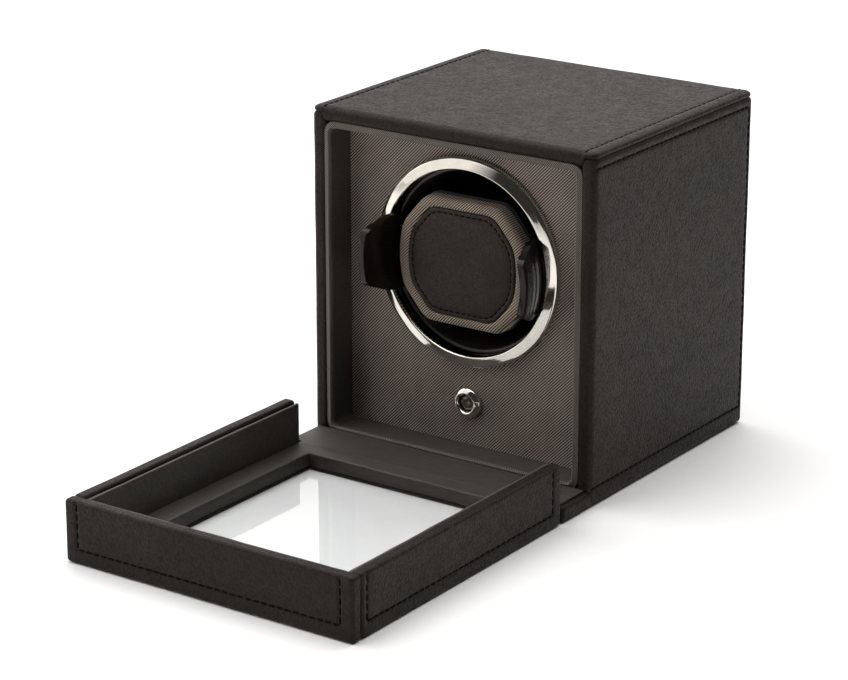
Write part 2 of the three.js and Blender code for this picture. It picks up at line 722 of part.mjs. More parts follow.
// A wing is a strip of a flared round shell, ribbed outside near its tip, with two knuckles at its back.
function wing(sign) {
  const ribs = [];
  for (let i = 0; i < RIBS; i += 1) {
    const y = WING_TIP + 3 + RIB_PITCH * i;
    const radius = WING_RADIUS - WING_FLARE * (y - WING_TIP);
    ribs.push([radius - RIB, y], [radius, y + 0.6], [radius, y + 1.6], [radius - RIB, y + 2.2]);
  }
  const shell = turned(
    [
      [WING_RADIUS - 2.8, WING_TIP],
      [WING_RADIUS - 0.3, WING_TIP],
      [WING_RADIUS, WING_TIP + 0.8],
      ...ribs,
      [WING_SEAT, WING_TIP + 22.8],
      [WING_SEAT, WING_END],
      [WING_SEAT - 2.6, WING_END],
      [WING_SEAT - 2.6, WING_TIP + 24],
      [WING_RADIUS - 5, WING_TIP + 18],
      [WING_RADIUS - 3.1, WING_TIP + 1],
    ],
    ROUND,
  );
  const side = new THREE.Shape(
    outline([
      [-WING_TIP, -12.2, 3],
      [-WING_TIP, 12.2, 3],
      [-WING_TIP - 12, 16.3, 4],
      [-WING_TIP - 20, 16.6, 4],
      [-WING_TIP - 26, WING_HALF_HEIGHT, 3],
      [-WING_END, WING_HALF_HEIGHT, 0],
      [-WING_END, -WING_HALF_HEIGHT, 0],
      [-WING_TIP - 26, -WING_HALF_HEIGHT, 3],
      [-WING_TIP - 20, -16.6, 4],
      [-WING_TIP - 12, -16.3, 4],
    ]),
  );
  const strip = overlap(shell, alongX(side, 20, 50));
  const knuckles = [];
  for (const end of [-1, 1]) {
    const z = [6, WING_HALF_HEIGHT].map((value) => end * value).sort((a, b) => a - b);
    knuckles.push(uprightRod(2.4, ...z, 16).translate(WING_PIVOT_X, WING_PIVOT_Y, 0));
    knuckles.push(block([WING_PIVOT_X, 35.3], [WING_PIVOT_Y - 2, WING_PIVOT_Y + 2], z));
  }
  const bore = uprightRod(WING_PIN + GAP, -20, 20).translate(WING_PIVOT_X, WING_PIVOT_Y, 0);
  const right = cut(join(strip, ...knuckles), bore);
  return sign > 0 ? right : toGeometry(toManifold(right).mirror([1, 0, 0]));
}

// ---------- cover ----------

function coverSpan(near, far) {
  return [HINGE_Y - far, HINGE_Y - near];
}

function windowFrame(halfWidth, near, far, windowHalf, windowNear, windowFar, [z0, z1]) {
  const frame = block([-halfWidth, halfWidth], coverSpan(near, far), [z0, z1]);
  const opening = block([-windowHalf, windowHalf], coverSpan(windowNear, windowFar), [z0 - 1, z1 + 1]);
  return cut(frame, opening);
}

function addCover() {
  const wallInner = HALF_WIDTH - COVER_WALL;
  const farInner = COVER_LENGTH - COVER_WALL;
  const glassNear = 4.5;
  const glassFar = WINDOW_FAR + 5;
  const glassHalf = WINDOW_HALF + 6;

  const face = windowFrame(
    wallInner - GAP, GAP, farInner - GAP, WINDOW_HALF - 1, WINDOW_NEAR + 1, WINDOW_FAR - 1, [0, BOARD],
  );
  const rebate = block(
    [-glassHalf - GAP, glassHalf + GAP],
    coverSpan(glassNear - GAP, glassFar + GAP),
    [GLASS_LIP, BOARD + 1],
  );
  addPiece('cover_face_frame', 'leather', cut(face, rebate));

  const glassBottom = GLASS_LIP + GAP;
  const glassTop = glassBottom + GLASS_THICK;
  const glass = block([-glassHalf, glassHalf], coverSpan(glassNear, glassFar), [glassBottom, glassTop]);
  addPiece('glass_pane', 'glass', glass);
  const retainer = windowFrame(
    glassHalf, glassNear, glassFar, WINDOW_HALF, WINDOW_NEAR, WINDOW_FAR, [glassTop + GAP, BOARD],
  );
  addPiece('glass_retainer', 'board', retainer);

  addCoverWalls(wallInner, farInner);

  const liningInner = wallInner - COVER_LINING - 2 * GAP;
  const clothFar = farInner - COVER_LINING - 2 * GAP;
  const cloth = [INNER_BOTTOM, INNER_BOTTOM + CLOTH];
  const floor = windowFrame(
    liningInner, HINGE_CLOTH + GAP, clothFar, WINDOW_HALF, WINDOW_NEAR, WINDOW_FAR, cloth,
  );
  addPiece('cover_floor_lining', 'satin', floor);

  const strip = block([-liningInner, liningInner], [HINGE_Y - HINGE_CLOTH, FRONT - GAP], cloth);
  addPiece('hinge_cloth', 'satin', strip);
}

function addCoverWalls(wallInner, farInner) {
  const rim = [0, COVER_DEPTH];
  const run = coverSpan(WALL_START, farInner - GAP);
  addPiece('cover_wall_left', 'leather', board([-HALF_WIDTH, -wallInner], run, rim));
  addPiece('cover_wall_right', 'leather', board([wallInner, HALF_WIDTH], run, rim));

  const top = board([-HALF_WIDTH, HALF_WIDTH], coverSpan(farInner, COVER_LENGTH), rim);
  const magnetY = HINGE_Y - COVER_LENGTH + COVER_WALL / 2;
  const magnetTop = COVER_DEPTH - MAGNET_SINK;
  const pocket = uprightRod(MAGNET_RADIUS + GAP, magnetTop - MAGNET_HEIGHT - GAP, COVER_DEPTH + 1);
  const pockets = [-MAGNET_X, MAGNET_X].map((x) => pocket.clone().translate(x, magnetY, 0));
  addPiece('cover_wall_top', 'leather', cut(top, ...pockets));
  for (const [side, x] of [['left', -MAGNET_X], ['right', MAGNET_X]]) {
    const magnet = uprightRod(MAGNET_RADIUS, magnetTop - MAGNET_HEIGHT, magnetTop);
    addPiece(`cover_magnet_${side}`, 'steel', magnet).position.set(x, magnetY, 0);
  }

  const liningTop = COVER_DEPTH - 1.2;
  const liningHeights = [INNER_BOTTOM, liningTop];
  const outer = wallInner - GAP;
  const inner = outer - COVER_LINING;
  const liningRun = coverSpan(WALL_START, farInner - GAP);
  addPiece('cover_lining_left', 'satin', block([-outer, -inner], liningRun, liningHeights));
  addPiece('cover_lining_right', 'satin', block([inner, outer], liningRun, liningHeights));
  const across = [-(inner - GAP), inner - GAP];
  const far = coverSpan(farInner - GAP - COVER_LINING, farInner - GAP);
  addPiece('cover_lining_top', 'satin', block(across, far, liningHeights));
}

addCaseBoards();
addFront();
addHousing();
addMotor();
addPinion();
addDrum();
addButton();
addElectrics();
addCuff();
addCover();

export default watchWinder;
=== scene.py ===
"""Looks of the watch winder box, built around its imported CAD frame.

Lengths are millimetres until a mesh is made.
"""

from math import copysign, cos, exp, pi, radians, sin, sqrt, tan

import bmesh
import bpy
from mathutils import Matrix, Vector, noise


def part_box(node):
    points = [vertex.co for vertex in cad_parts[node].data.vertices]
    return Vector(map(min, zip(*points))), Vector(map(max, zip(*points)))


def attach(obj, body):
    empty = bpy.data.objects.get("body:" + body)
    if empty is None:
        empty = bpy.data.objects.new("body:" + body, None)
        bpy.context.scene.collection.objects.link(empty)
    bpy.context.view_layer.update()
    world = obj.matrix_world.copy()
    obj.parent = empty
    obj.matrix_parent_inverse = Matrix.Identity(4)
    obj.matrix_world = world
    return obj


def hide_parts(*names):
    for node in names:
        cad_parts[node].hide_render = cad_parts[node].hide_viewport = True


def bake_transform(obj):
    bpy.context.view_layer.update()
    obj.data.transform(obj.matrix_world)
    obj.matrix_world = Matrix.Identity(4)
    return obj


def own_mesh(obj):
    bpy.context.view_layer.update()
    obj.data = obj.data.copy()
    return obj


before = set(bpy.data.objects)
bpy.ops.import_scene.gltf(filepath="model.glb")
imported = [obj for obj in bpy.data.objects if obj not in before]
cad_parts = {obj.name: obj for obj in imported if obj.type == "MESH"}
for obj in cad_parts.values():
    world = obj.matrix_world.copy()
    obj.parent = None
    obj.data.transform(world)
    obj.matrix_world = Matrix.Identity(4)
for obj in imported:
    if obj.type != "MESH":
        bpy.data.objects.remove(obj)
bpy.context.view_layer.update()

MM = 0.001
SIDES = (("left", -1), ("right", 1))  # the two sides' names, and the sign of X on each


def mm_box(node):
    low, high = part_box(node)
    return Vector(low) / MM, Vector(high) / MM


# ---------- measures taken from the frame ----------

BASE_LOW, BASE_HIGH = mm_box("base_panel")
SIDE_LOW, SIDE_HIGH = mm_box("side_panel_right")
TOP_LOW, TOP_HIGH = mm_box("top_panel")
LIP_LOW, LIP_HIGH = mm_box("opening_frame")
PLATE_LOW, PLATE_HIGH = mm_box("front_plate")
RING_LOW, RING_HIGH = mm_box("bezel_ring")
CUP_LOW, CUP_HIGH = mm_box("rotor_cup")
CAP_LOW, CAP_HIGH = mm_box("cuff_cap")
PATCH_LOW, PATCH_HIGH = mm_box("cuff_patch")
CAP_BACK_LOW, CAP_BACK_HIGH = mm_box("cap_backplate")
WING_LOW, WING_HIGH = mm_box("wing_right")
BEZEL_LOW, BEZEL_HIGH = mm_box("button_bezel")
BUTTON_LOW, BUTTON_HIGH = mm_box("power_button")
WALL_LOW, WALL_HIGH = mm_box("cover_wall_right")
FAR_LOW, FAR_HIGH = mm_box("cover_wall_top")
FLOOR_LOW, FLOOR_HIGH = mm_box("cover_floor_lining")
HINGE_LOW, HINGE_HIGH = mm_box("hinge_cloth")
GLASS_LOW, GLASS_HIGH = mm_box("glass_pane")
SPRING_LOW, SPRING_HIGH = mm_box("button_spring")
PIN_LOW, PIN_HIGH = mm_box("wing_pin_right")

FRONT = SIDE_LOW.y
HINGE_Y = BASE_LOW.y
AXIS_Z = (RING_LOW.z + RING_HIGH.z) / 2
BUTTON_Z = (BEZEL_LOW.z + BEZEL_HIGH.z) / 2
PLATE_FRONT = PLATE_LOW.y
PLATE_SEAT = PLATE_FRONT - 0.3  # where chrome parts sit on the front plate's cloth
WINDOW_HALF = 51.5  # half the width of the cover's window
WINDOW_NEAR = HINGE_Y - 9.5
WINDOW_FAR = HINGE_Y - 125.5

# ---------- leather and thread ----------

ROLL = 1.6  # radius of a leather edge wrapped round its board
BASE_ROLL = 2.0
SIDE_ROLL = 2.6
TOP_ROUND = 3.2
ROLL_ANGLES = (45, 32, 20, 10, 0)  # degrees round a rolled edge at which its grid lines lie

STITCH_PITCH = 3.7
THREAD = 0.42  # radius of the thread
STITCH_SLANT = 0.16  # how far a stitch runs across its seam, as a share of its run along it
STITCH_LIFT = 0.14  # height of a stitch's middle above the floor of its seam
STITCH_SIDES = 6
# One stitch, as rings of place along it, width, and height, in shares of its length and thread.
STITCH_RINGS = (
    (-0.40, 0.35, -0.9),
    (-0.33, 0.85, -0.25),
    (0.0, 1.0, 0.0),
    (0.33, 0.85, -0.25),
    (0.40, 0.35, -0.9),
)
SEAM_DEPTH = 0.45  # how far a seam pulls the leather in
SEAM_WIDTH = 0.75  # how far to each side of the seam the leather dips
SEAM_TICKS = (-1.8, -1.0, -0.5, 0.0, 0.5, 1.0, 1.8)  # grid lines beside a seam

TOP_ROLL = 3.5  # thickness of the top's wrapped edge at the sides
TOP_SEAM = 5.5  # from the top's side edge to its stitching
TOP_STEP = 0.8  # width of the step beside that stitching, where the top thins
TOP_SEAM_END = 1.0  # how far the top's stitching stops short of its edges
SIDE_SEAM = 3.3  # from a side panel's edge to its stitching
SIDE_SEAM_END = 1.5  # how far a side's stitching stops short of the front
SIDE_OUT = SIDE_HIGH.x + 0.25  # the side leather runs down over the base board's edge
SIDE_FOOT = 0.2  # the side leather stops this far above the ground
SIDE_INSET = 0.12  # and this far behind the case's front
UNDER_TOP = 1.2  # and rises this far inside the top's wrapped edge
FOOT_SEAM = 8.0  # height of the stitching along the bottom of a side
COVER_SEAM = 6.2  # from the cover's corners and bottom to its stitching


# ---------- making pieces ----------

def linear(*colour):
    """The linear colour of an sRGB colour given from 0 to 255."""
    shares = [value / 255 for value in colour]
    return tuple(c / 12.92 if c <= 0.04045 else ((c + 0.055) / 1.055) ** 2.4 for c in shares)


def add_piece(name, shape, material, body, replaces=(), sharp=40.0):
    """Makes a piece that rides on a body and stands for the CAD nodes that it replaces."""
    points, faces = shape
    mesh = bpy.data.meshes.new(name)
    mesh.from_pydata([tuple(Vector(p) * MM) for p in points], [], faces)
    work = bmesh.new()
    work.from_mesh(mesh)
    bmesh.ops.recalc_face_normals(work, faces=work.faces)
    work.to_mesh(mesh)
    work.free()
    mesh.validate()
    mesh.materials.append(material)
    piece = add_smooth(name, mesh, sharp)
    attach(piece, body)
    if replaces:
        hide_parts(*replaces)
    return piece


def add_smooth(name, mesh, sharp):
    """Links a mesh to the scene, shaded smooth except where it turns by more than sharp degrees."""
    for face in mesh.polygons:
        face.use_smooth = True
    mesh.set_sharp_from_angle(angle=radians(sharp))
    return linked(name, mesh)


def linked(name, data):
    """Links new data to the scene as an object."""
    thing = bpy.data.objects.new(name, data)
    bpy.context.collection.objects.link(thing)
    return thing


def dress(material, *nodes):
    """Gives CAD nodes that stay their finish."""
    for name in nodes:
        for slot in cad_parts[name].material_slots:
            slot.material = material


def soften(piece, width, angle):
    bevel = piece.modifiers.new("edge", "BEVEL")
    bevel.width = width * MM
    bevel.segments = 2
    bevel.limit_method = "ANGLE"
    bevel.angle_limit = radians(angle)
    bevel.harden_normals = True


# ---------- shapes ----------

def ticks(low, high, radius, step, marks):
    """Grid lines along one side of a board, close together at its rolled ends and beside each seam."""
    closest = 0.2
    reach = [radius * (1 - tan(radians(a))) for a in ROLL_ANGLES]
    ends = [low + r for r in reach] + [high - r for r in reach]
    flat = high - low - 2 * radius
    count = max(1, round(flat / step))
    inner = [low + radius + flat * i / count for i in range(1, count)]
    inner += [mark + d for mark in marks for d in SEAM_TICKS]
    inner = [v for v in inner if low + radius + closest < v < high - radius - closest]
    kept = []
    for value in sorted(inner):
        if not kept or value - kept[-1] > closest:
            kept.append(value)
    return sorted({round(v, 4) for v in ends + kept})


def seam_marks(seams, axis):
    """Places along an axis at which a seam runs straight across it."""
    marks = []
    for path, facing in seams:
        straight = abs(path[0][axis] - path[-1][axis]) < 0.01
        if straight and abs(facing[axis]) < 0.5:
            marks.append(path[0][axis])
    return marks


def seam_dip(point, normal, seams):
    """How far the seams pull the leather in at a point."""
    dip = 0.0
    for path, facing in seams:
        if normal.dot(facing) < 0.6:
            continue
        start, run = path[0], path[-1] - path[0]
        along = min(1.0, max(0.0, (point - start).dot(run) / run.length_squared))
        off = (point - start - run * along).length
        dip = max(dip, SEAM_DEPTH * exp(-((off / SEAM_WIDTH) ** 2)))
    return dip


def board(low, high, radius=ROLL, seams=(), swell=0.12, warp=None):
    """A padded board with rolled edges, pulled in along its seams."""
    radius = min(radius, min(high - low) / 2 - 0.02)
    step = 6.0
    lines = [ticks(low[a], high[a], radius, step, seam_marks(seams, a)) for a in range(3)]
    points, faces, known = [], [], {}

    def shaped(corner):
        core = Vector(min(high[a] - radius, max(low[a] + radius, corner[a])) for a in range(3))
        normal = (corner - core).normalized()
        point = core + normal * radius
        lumps = swell * noise.noise(point * 0.055) + 0.4 * swell * noise.noise(point * 0.21)
        point += normal * (lumps - seam_dip(point, normal, seams))
        return warp(point) if warp else point

    def vertex(corner):
        key = tuple(round(v, 3) for v in corner)
        if key not in known:
            known[key] = len(points)
            points.append(shaped(Vector(corner)))
        return known[key]

    for axis in range(3):
        u, v = (axis + 1) % 3, (axis + 2) % 3
        for value in (low[axis], high[axis]):
            for i in range(len(lines[u]) - 1):
                for j in range(len(lines[v]) - 1):
                    quad = []
                    for a, b in ((i, j), (i + 1, j), (i + 1, j + 1), (i, j + 1)):
                        corner = [0.0, 0.0, 0.0]
                        corner[axis], corner[u], corner[v] = value, lines[u][a], lines[v][b]
                        quad.append(vertex(corner))
                    faces.append(quad if value == high[axis] else quad[::-1])
    return points, faces


def seams_through(corners, facing):
    """A straight seam from each corner to the next, on a surface that faces one way."""
    return [([Vector(a), Vector(b)], Vector(facing)) for a, b in zip(corners, corners[1:])]


def spaced(path, pitch, closed=False):
    """Points at an even pitch along a path."""
    path = path + [path[0]] if closed else path
    lengths = [(b - a).length for a, b in zip(path, path[1:])]
    count = max(1, round(sum(lengths) / pitch))
    step = sum(lengths) / count
    result, at, done = [path[0].copy()], 0, 0.0
    for i in range(1, count):
        while done + lengths[at] < i * step:
            done += lengths[at]
            at += 1
        result.append(path[at].lerp(path[at + 1], (i * step - done) / lengths[at]))
    return result + [path[-1].copy()]


def stitch(start, end, facing, thread):
    """One short bowed length of thread."""
    along = end - start
    across = facing.cross(along).normalized()
    middle = (start + end) / 2
    points = []
    for reach, width, sink in STITCH_RINGS:
        lift = facing * (thread * sink - SEAM_DEPTH + STITCH_LIFT)
        centre = middle + along * reach + across * (STITCH_SLANT * reach) + lift
        for k in range(STITCH_SIDES):
            angle = 2 * pi * k / STITCH_SIDES
            out = across * cos(angle) + facing * sin(angle)
            points.append(centre + out * thread * width)
    faces = []
    last = (len(STITCH_RINGS) - 1) * STITCH_SIDES
    for first in range(0, last, STITCH_SIDES):
        for k in range(STITCH_SIDES):
            a, b = first + k, first + (k + 1) % STITCH_SIDES
            faces.append((a, b, b + STITCH_SIDES, a + STITCH_SIDES))
    faces.append(tuple(range(STITCH_SIDES))[::-1])
    faces.append(tuple(range(last, last + STITCH_SIDES)))
    return points, faces


def stitching(seams, pitch=STITCH_PITCH, thread=THREAD, closed=False):
    """All the stitches of some seams."""
    stitches = []
    for path, facing in seams:
        holes = spaced(path, pitch, closed)
        stitches += [stitch(start, end, facing, thread) for start, end in zip(holes, holes[1:])]
    return merged(*stitches)


def smooth_curve(points, steps=6):
    """Points on a smooth curve through the given ones."""
    result = []
    for i in range(len(points) - 1):
        before = Vector(points[max(i - 1, 0)])
        start, end = Vector(points[i]), Vector(points[i + 1])
        after = Vector(points[min(i + 2, len(points) - 1)])
        for k in range(steps):
            t = k / steps
            square = (2 * before - 5 * start + 4 * end - after) * t * t
            cube = (3 * start - before - 3 * end + after) * t ** 3
            result.append(0.5 * (2 * start + (end - before) * t + square + cube))
    return [tuple(p) for p in result] + [tuple(points[-1])]


def turned(profile, centre_z, segments=96):
    """A profile of (radius, y) points turned about an axis along Y."""
    points, faces, rings = [], [], []
    for radius, y in profile:
        if radius < 1e-6:
            rings.append([len(points)])
            points.append(Vector((0, y, centre_z)))
            continue
        ring = []
        for k in range(segments):
            angle = 2 * pi * k / segments
            ring.append(len(points))
            points.append(Vector((radius * cos(angle), y, centre_z + radius * sin(angle))))
        rings.append(ring)
    pairs = list(zip(rings, rings[1:]))
    if len(rings[0]) > 1:
        pairs.append((rings[-1], rings[0]))
    for one, two in pairs:
        for k in range(segments):
            n = (k + 1) % segments
            if len(one) == 1 and len(two) > 1:
                faces.append((one[0], two[k], two[n]))
            elif len(two) == 1 and len(one) > 1:
                faces.append((one[k], two[0], one[n]))
            elif len(one) > 1:
                faces.append((one[k], two[k], two[n], one[n]))
    return points, faces


def loft(layers, closed_ends=True):
    """A skin through closed outlines with equal numbers of points, with a fan over each end."""
    points, faces = [], []
    count = len(layers[0])
    for layer in layers:
        points += [Vector(p) for p in layer]
    for r in range(len(layers) - 1):
        for k in range(count):
            n = (k + 1) % count
            faces.append((r * count + k, r * count + n, (r + 1) * count + n, (r + 1) * count + k))
    if closed_ends:
        for r in (0, len(layers) - 1):
            middle = sum((Vector(p) for p in layers[r]), Vector()) / count
            points.append(middle)
            for k in range(count):
                faces.append((r * count + k, r * count + (k + 1) % count, len(points) - 1))
    return points, faces


def corner_path(corners, steps=5):
    """A closed outline of (x, z) points whose corner at each (x, z, reach) is rounded over that reach."""
    path = []
    for i, (x, z, reach) in enumerate(corners):
        here = Vector((x, z))
        before = Vector(corners[i - 1][:2])
        after = Vector(corners[(i + 1) % len(corners)][:2])
        start = here + (before - here).normalized() * reach
        end = here + (after - here).normalized() * reach
        for k in range(steps + 1):
            t = k / steps
            path.append(start * (1 - t) ** 2 + here * 2 * t * (1 - t) + end * t * t)
    return path


def swept_frame(half, low, high, reach, profile):
    """A rounded rectangular frame in X and Z. The profile's points are (outwards, y)."""
    layers = []
    for out, y in profile:
        left, right, bottom, top = -(half + out), half + out, low - out, high + out
        corners = [(left, bottom), (right, bottom), (right, top), (left, top)]
        path = corner_path([(x, z, reach + out) for x, z in corners], steps=6)
        layers.append([(p.x, y, p.y) for p in path])
    layers.append(layers[0])
    return weld(loft(layers, closed_ends=False))


def weld(shape):
    """Joins points that lie together, and drops the faces that vanish."""
    points, faces = shape
    known, kept, index = {}, [], []
    for point in points:
        key = tuple(round(v, 4) for v in point)
        if key not in known:
            known[key] = len(kept)
            kept.append(point)
        index.append(known[key])
    joined = [[index[i] for i in face] for face in faces]
    return kept, [face for face in joined if len(set(face)) == len(face)]


def merged(*shapes):
    points, faces = [], []
    for more, their_faces in shapes:
        faces += [tuple(i + len(points) for i in face) for face in their_faces]
        points += more
    return points, faces


def value_at(marks, place):
    """The value at a place, on straight lines between (place, value) marks."""
    for (a, low), (b, high) in zip(marks, marks[1:]):
        if place <= b + 1e-6:
            return low + (high - low) * (place - a) / (b - a)
    return marks[-1][1]


# ---------- materials ----------

class Finish:
    """A Principled material and short ways to add nodes to it. Sizes are in millimetres."""

    def __init__(self, name, colour, roughness, **sockets):
        self.material = bpy.data.materials.new(name)
        self.material.use_nodes = True
        self.tree = self.material.node_tree
        self.shader = self.tree.nodes["Principled BSDF"]
        self.set("Base Color", (*linear(*colour), 1))
        self.set("Roughness", roughness)
        for socket, value in sockets.items():
            self.set(socket.replace("_", " "), value)
        self.place = self.node("ShaderNodeTexCoord").outputs["Object"]

    def set(self, socket, value):
        self.shader.inputs[socket].default_value = value

    def node(self, kind, inputs=None, **settings):
        node = self.tree.nodes.new(kind)
        for key, value in settings.items():
            setattr(node, key, value)
        for key, value in (inputs or {}).items():
            if isinstance(value, bpy.types.NodeSocket):
                self.tree.links.new(value, node.inputs[key])
            else:
                node.inputs[key].default_value = value
        return node

    def stretched(self, x, y, z):
        return self.node("ShaderNodeMapping", {"Vector": self.place, "Scale": (x, y, z)}).outputs[0]

    def noise(self, size, detail=2.0, rough=0.5, place=None):
        """Noise whose patches are about size across."""
        values = {"Scale": 1 / (size * MM), "Detail": detail, "Roughness": rough}
        values["Vector"] = place or self.place
        return self.node("ShaderNodeTexNoise", values).outputs["Fac"]

    def cells(self, size, place=None, feature="SMOOTH_F1"):
        values = {"Vector": place or self.place, "Scale": 1 / (size * MM)}
        node = self.node("ShaderNodeTexVoronoi", values, feature=feature)
        return node.outputs["Distance"]

    def ribs(self, pitch, place, wobble=0.0):
        """Waves a pitch apart, measured along the sum of the coordinates."""
        values = {"Vector": place, "Scale": 2 * pi / (10 * pitch * MM)}
        values |= {"Distortion": wobble, "Detail": 1.0, "Detail Scale": 0.2}
        return self.node("ShaderNodeTexWave", values, bands_direction="DIAGONAL").outputs["Fac"]

    def scaled(self, value, from_low, from_high, low, high):
        values = {"Value": value, "From Min": from_low, "From Max": from_high}
        values |= {"To Min": low, "To Max": high}
        return self.node("ShaderNodeMapRange", values).outputs["Result"]

    def spread(self, value, low=0.0, high=1.0):
        """Noise, which stays mostly between 0.3 and 0.7, spread out to run from low to high."""
        return self.scaled(value, 0.3, 0.7, low, high)

    def sums(self, operation, first, second):
        return self.node("ShaderNodeMath", {0: first, 1: second}, operation=operation).outputs[0]

    def blend(self, factor, one, two):
        """A mix of two colours, each a socket or an sRGB colour."""
        node = self.node("ShaderNodeMix", data_type="RGBA")
        self.tree.links.new(factor, node.inputs[0])
        for socket, value in ((node.inputs[6], one), (node.inputs[7], two)):
            if isinstance(value, bpy.types.NodeSocket):
                self.tree.links.new(value, socket)
            else:
                socket.default_value = (*linear(*value), 1)
        return node.outputs[2]

    def drive(self, socket, value):
        self.tree.links.new(value, self.shader.inputs[socket])

    def bump(self, height, depth, strength):
        """Relief of some depth, on top of any relief added before."""
        values = {"Height": height, "Distance": depth * MM, "Strength": strength}
        node = self.node("ShaderNodeBump", values)
        normal = self.shader.inputs["Normal"]
        if normal.links:
            self.tree.links.new(normal.links[0].from_socket, node.inputs["Normal"])
        self.tree.links.new(node.outputs["Normal"], normal)


def toned(colour, times, plus=0.0):
    return tuple(times * c + plus for c in colour)


def leather_finish(name, dark, light, grain=1.0):
    """Pebbled leather, paler in worn patches and on the tops of its pebbles."""
    f = Finish(name, dark, 0.6, Specular_IOR_Level=0.15, Specular_Tint=(1.0, 0.93, 0.87, 1))
    pebbles = f.cells(grain)
    crease = f.scaled(pebbles, 0.15, 0.75, 0.0, 1.0)
    patches = f.noise(26, detail=3.0)
    worn = f.sums("MULTIPLY", f.spread(patches, 0.2, 1.0), f.scaled(pebbles, 0.0, 0.6, 1.0, 0.2))
    f.drive("Base Color", f.blend(worn, dark, light))
    polish = f.scaled(crease, 0.0, 1.0, 0.42, 0.6)
    f.drive("Roughness", f.sums("ADD", polish, f.spread(f.noise(5), -0.05, 0.05)))
    f.bump(f.noise(0.35), depth=0.03, strength=0.5)
    f.bump(f.scaled(pebbles, 0.0, 1.0, 1.0, 0.0), depth=0.24, strength=0.8)
    f.bump(f.noise(9), depth=0.25, strength=0.35)
    return f.material


def twill_finish(name, dark, light, pitch, lean=1.0):
    """Diagonal ribs of pale yarn over dark yarn, each rib crossed by the turns of the yarn.

    lean is how far the ribs shift with depth: 0 keeps them parallel on a rim that slopes back.
    """
    f = Finish(name, light, 0.75, Sheen_Weight=0.15, Sheen_Roughness=0.4)
    ribs = f.ribs(pitch * sqrt(2), f.stretched(1, lean, -1), wobble=0.4)
    turns = f.ribs(0.62 * pitch, f.stretched(1, 1, 1))
    yarn = f.sums("MULTIPLY", f.spread(ribs), f.scaled(turns, 0.0, 1.0, 0.88, 1.0))
    yarn = f.sums("MULTIPLY", yarn, f.spread(f.noise(14, detail=3.0), 0.82, 1.08))
    f.drive("Base Color", f.blend(yarn, dark, light))
    f.drive("Roughness", f.scaled(ribs, 0.0, 1.0, 0.85, 0.6))
    f.bump(f.noise(0.3), depth=0.03, strength=0.4)
    f.bump(yarn, depth=0.12, strength=0.7)
    return f.material


def satin_finish(name, dark, light):
    """Fine satin: hair-thin ribs with a soft sheen and slow changes of tone."""
    f = Finish(name, light, 0.5, Sheen_Weight=0.2, Sheen_Roughness=0.35)
    weave = f.ribs(0.34 * sqrt(2), f.stretched(1, 1, -1), wobble=1.0)
    slubs = f.noise(1.0, detail=3.0, rough=0.6, place=f.stretched(0.15, 1, 1))
    tone = f.sums("MULTIPLY", f.spread(slubs, 0.55, 1.0), f.scaled(weave, 0.0, 1.0, 0.75, 1.0))
    tone = f.sums("MULTIPLY", tone, f.spread(f.noise(30), 0.85, 1.1))
    f.drive("Base Color", f.blend(tone, dark, light))
    f.drive("Roughness", f.spread(slubs, 0.62, 0.45))
    f.bump(weave, depth=0.04, strength=0.5)
    f.bump(f.noise(7), depth=0.25, strength=0.3)
    return f.material


def chrome_finish(name, colour):
    """Polished chrome with faint smears and hairline scratches."""
    f = Finish(name, colour, 0.06, Metallic=1.0)
    smears = f.noise(6, detail=4.0, rough=0.65)
    hairs = f.noise(0.5, rough=0.6, place=f.stretched(1, 0.08, 1))
    wear = f.sums("ADD", f.scaled(smears, 0.35, 0.75, 0.035, 0.1), f.scaled(hairs, 0.55, 0.8, 0.0, 0.05))
    f.drive("Roughness", wear)
    f.drive("Base Color", f.blend(f.scaled(smears, 0.3, 0.8, 0.0, 1.0), colour, toned(colour, 0.94)))
    f.bump(f.noise(3.5), depth=0.004, strength=0.4)
    return f.material


def metal_finish(name, colour, roughness, brushed=True):
    """Brushed or plain metal with dull stains."""
    f = Finish(name, colour, roughness, Metallic=1.0)
    if brushed:
        lines = f.noise(0.25, detail=3.0, rough=0.6, place=f.stretched(1, 0.04, 1))
    else:
        lines = f.noise(0.4, detail=3.0)
    stains = f.noise(5, detail=3.0)
    f.drive("Base Color", f.blend(f.scaled(stains, 0.35, 0.7, 0.0, 1.0), colour, toned(colour, 0.8)))
    dull = f.sums("ADD", f.spread(lines, -0.08, 0.1), f.spread(stains, roughness, roughness + 0.1))
    f.drive("Roughness", dull)
    f.bump(lines, depth=0.01, strength=0.5)
    return f.material


def plastic_finish(name, colour, roughness, grain=0.3, depth=0.02, shine=0.5):
    """Moulded plastic, or thread, with an even fine grain."""
    f = Finish(name, colour, roughness, Specular_IOR_Level=shine)
    fine = f.noise(grain)
    wide = f.noise(12)
    f.drive("Base Color", f.blend(f.spread(wide), colour, toned(colour, 1.25, 2)))
    f.drive("Roughness", f.scaled(f.sums("ADD", fine, wide), 0.6, 1.4, roughness - 0.04, roughness + 0.06))
    f.bump(fine, depth, strength=0.6)
    return f.material


def gloss_finish(name, colour):
    """Moulded gloss plastic with a slight ripple and fine dust scratches."""
    f = Finish(name, colour, 0.2, Specular_IOR_Level=0.22, Coat_Weight=0.04, Coat_Roughness=0.12)
    wide = f.noise(9, detail=3.0)
    f.drive("Base Color", f.blend(f.spread(wide), colour, toned(colour, 1.5, 3)))
    scratches = f.noise(0.8, detail=3.0, rough=0.6, place=f.stretched(1, 0.2, 1))
    f.drive("Roughness", f.scaled(scratches, 0.3, 0.75, 0.16, 0.26))
    f.bump(f.noise(6, detail=1.0), depth=0.008, strength=0.3)
    return f.material


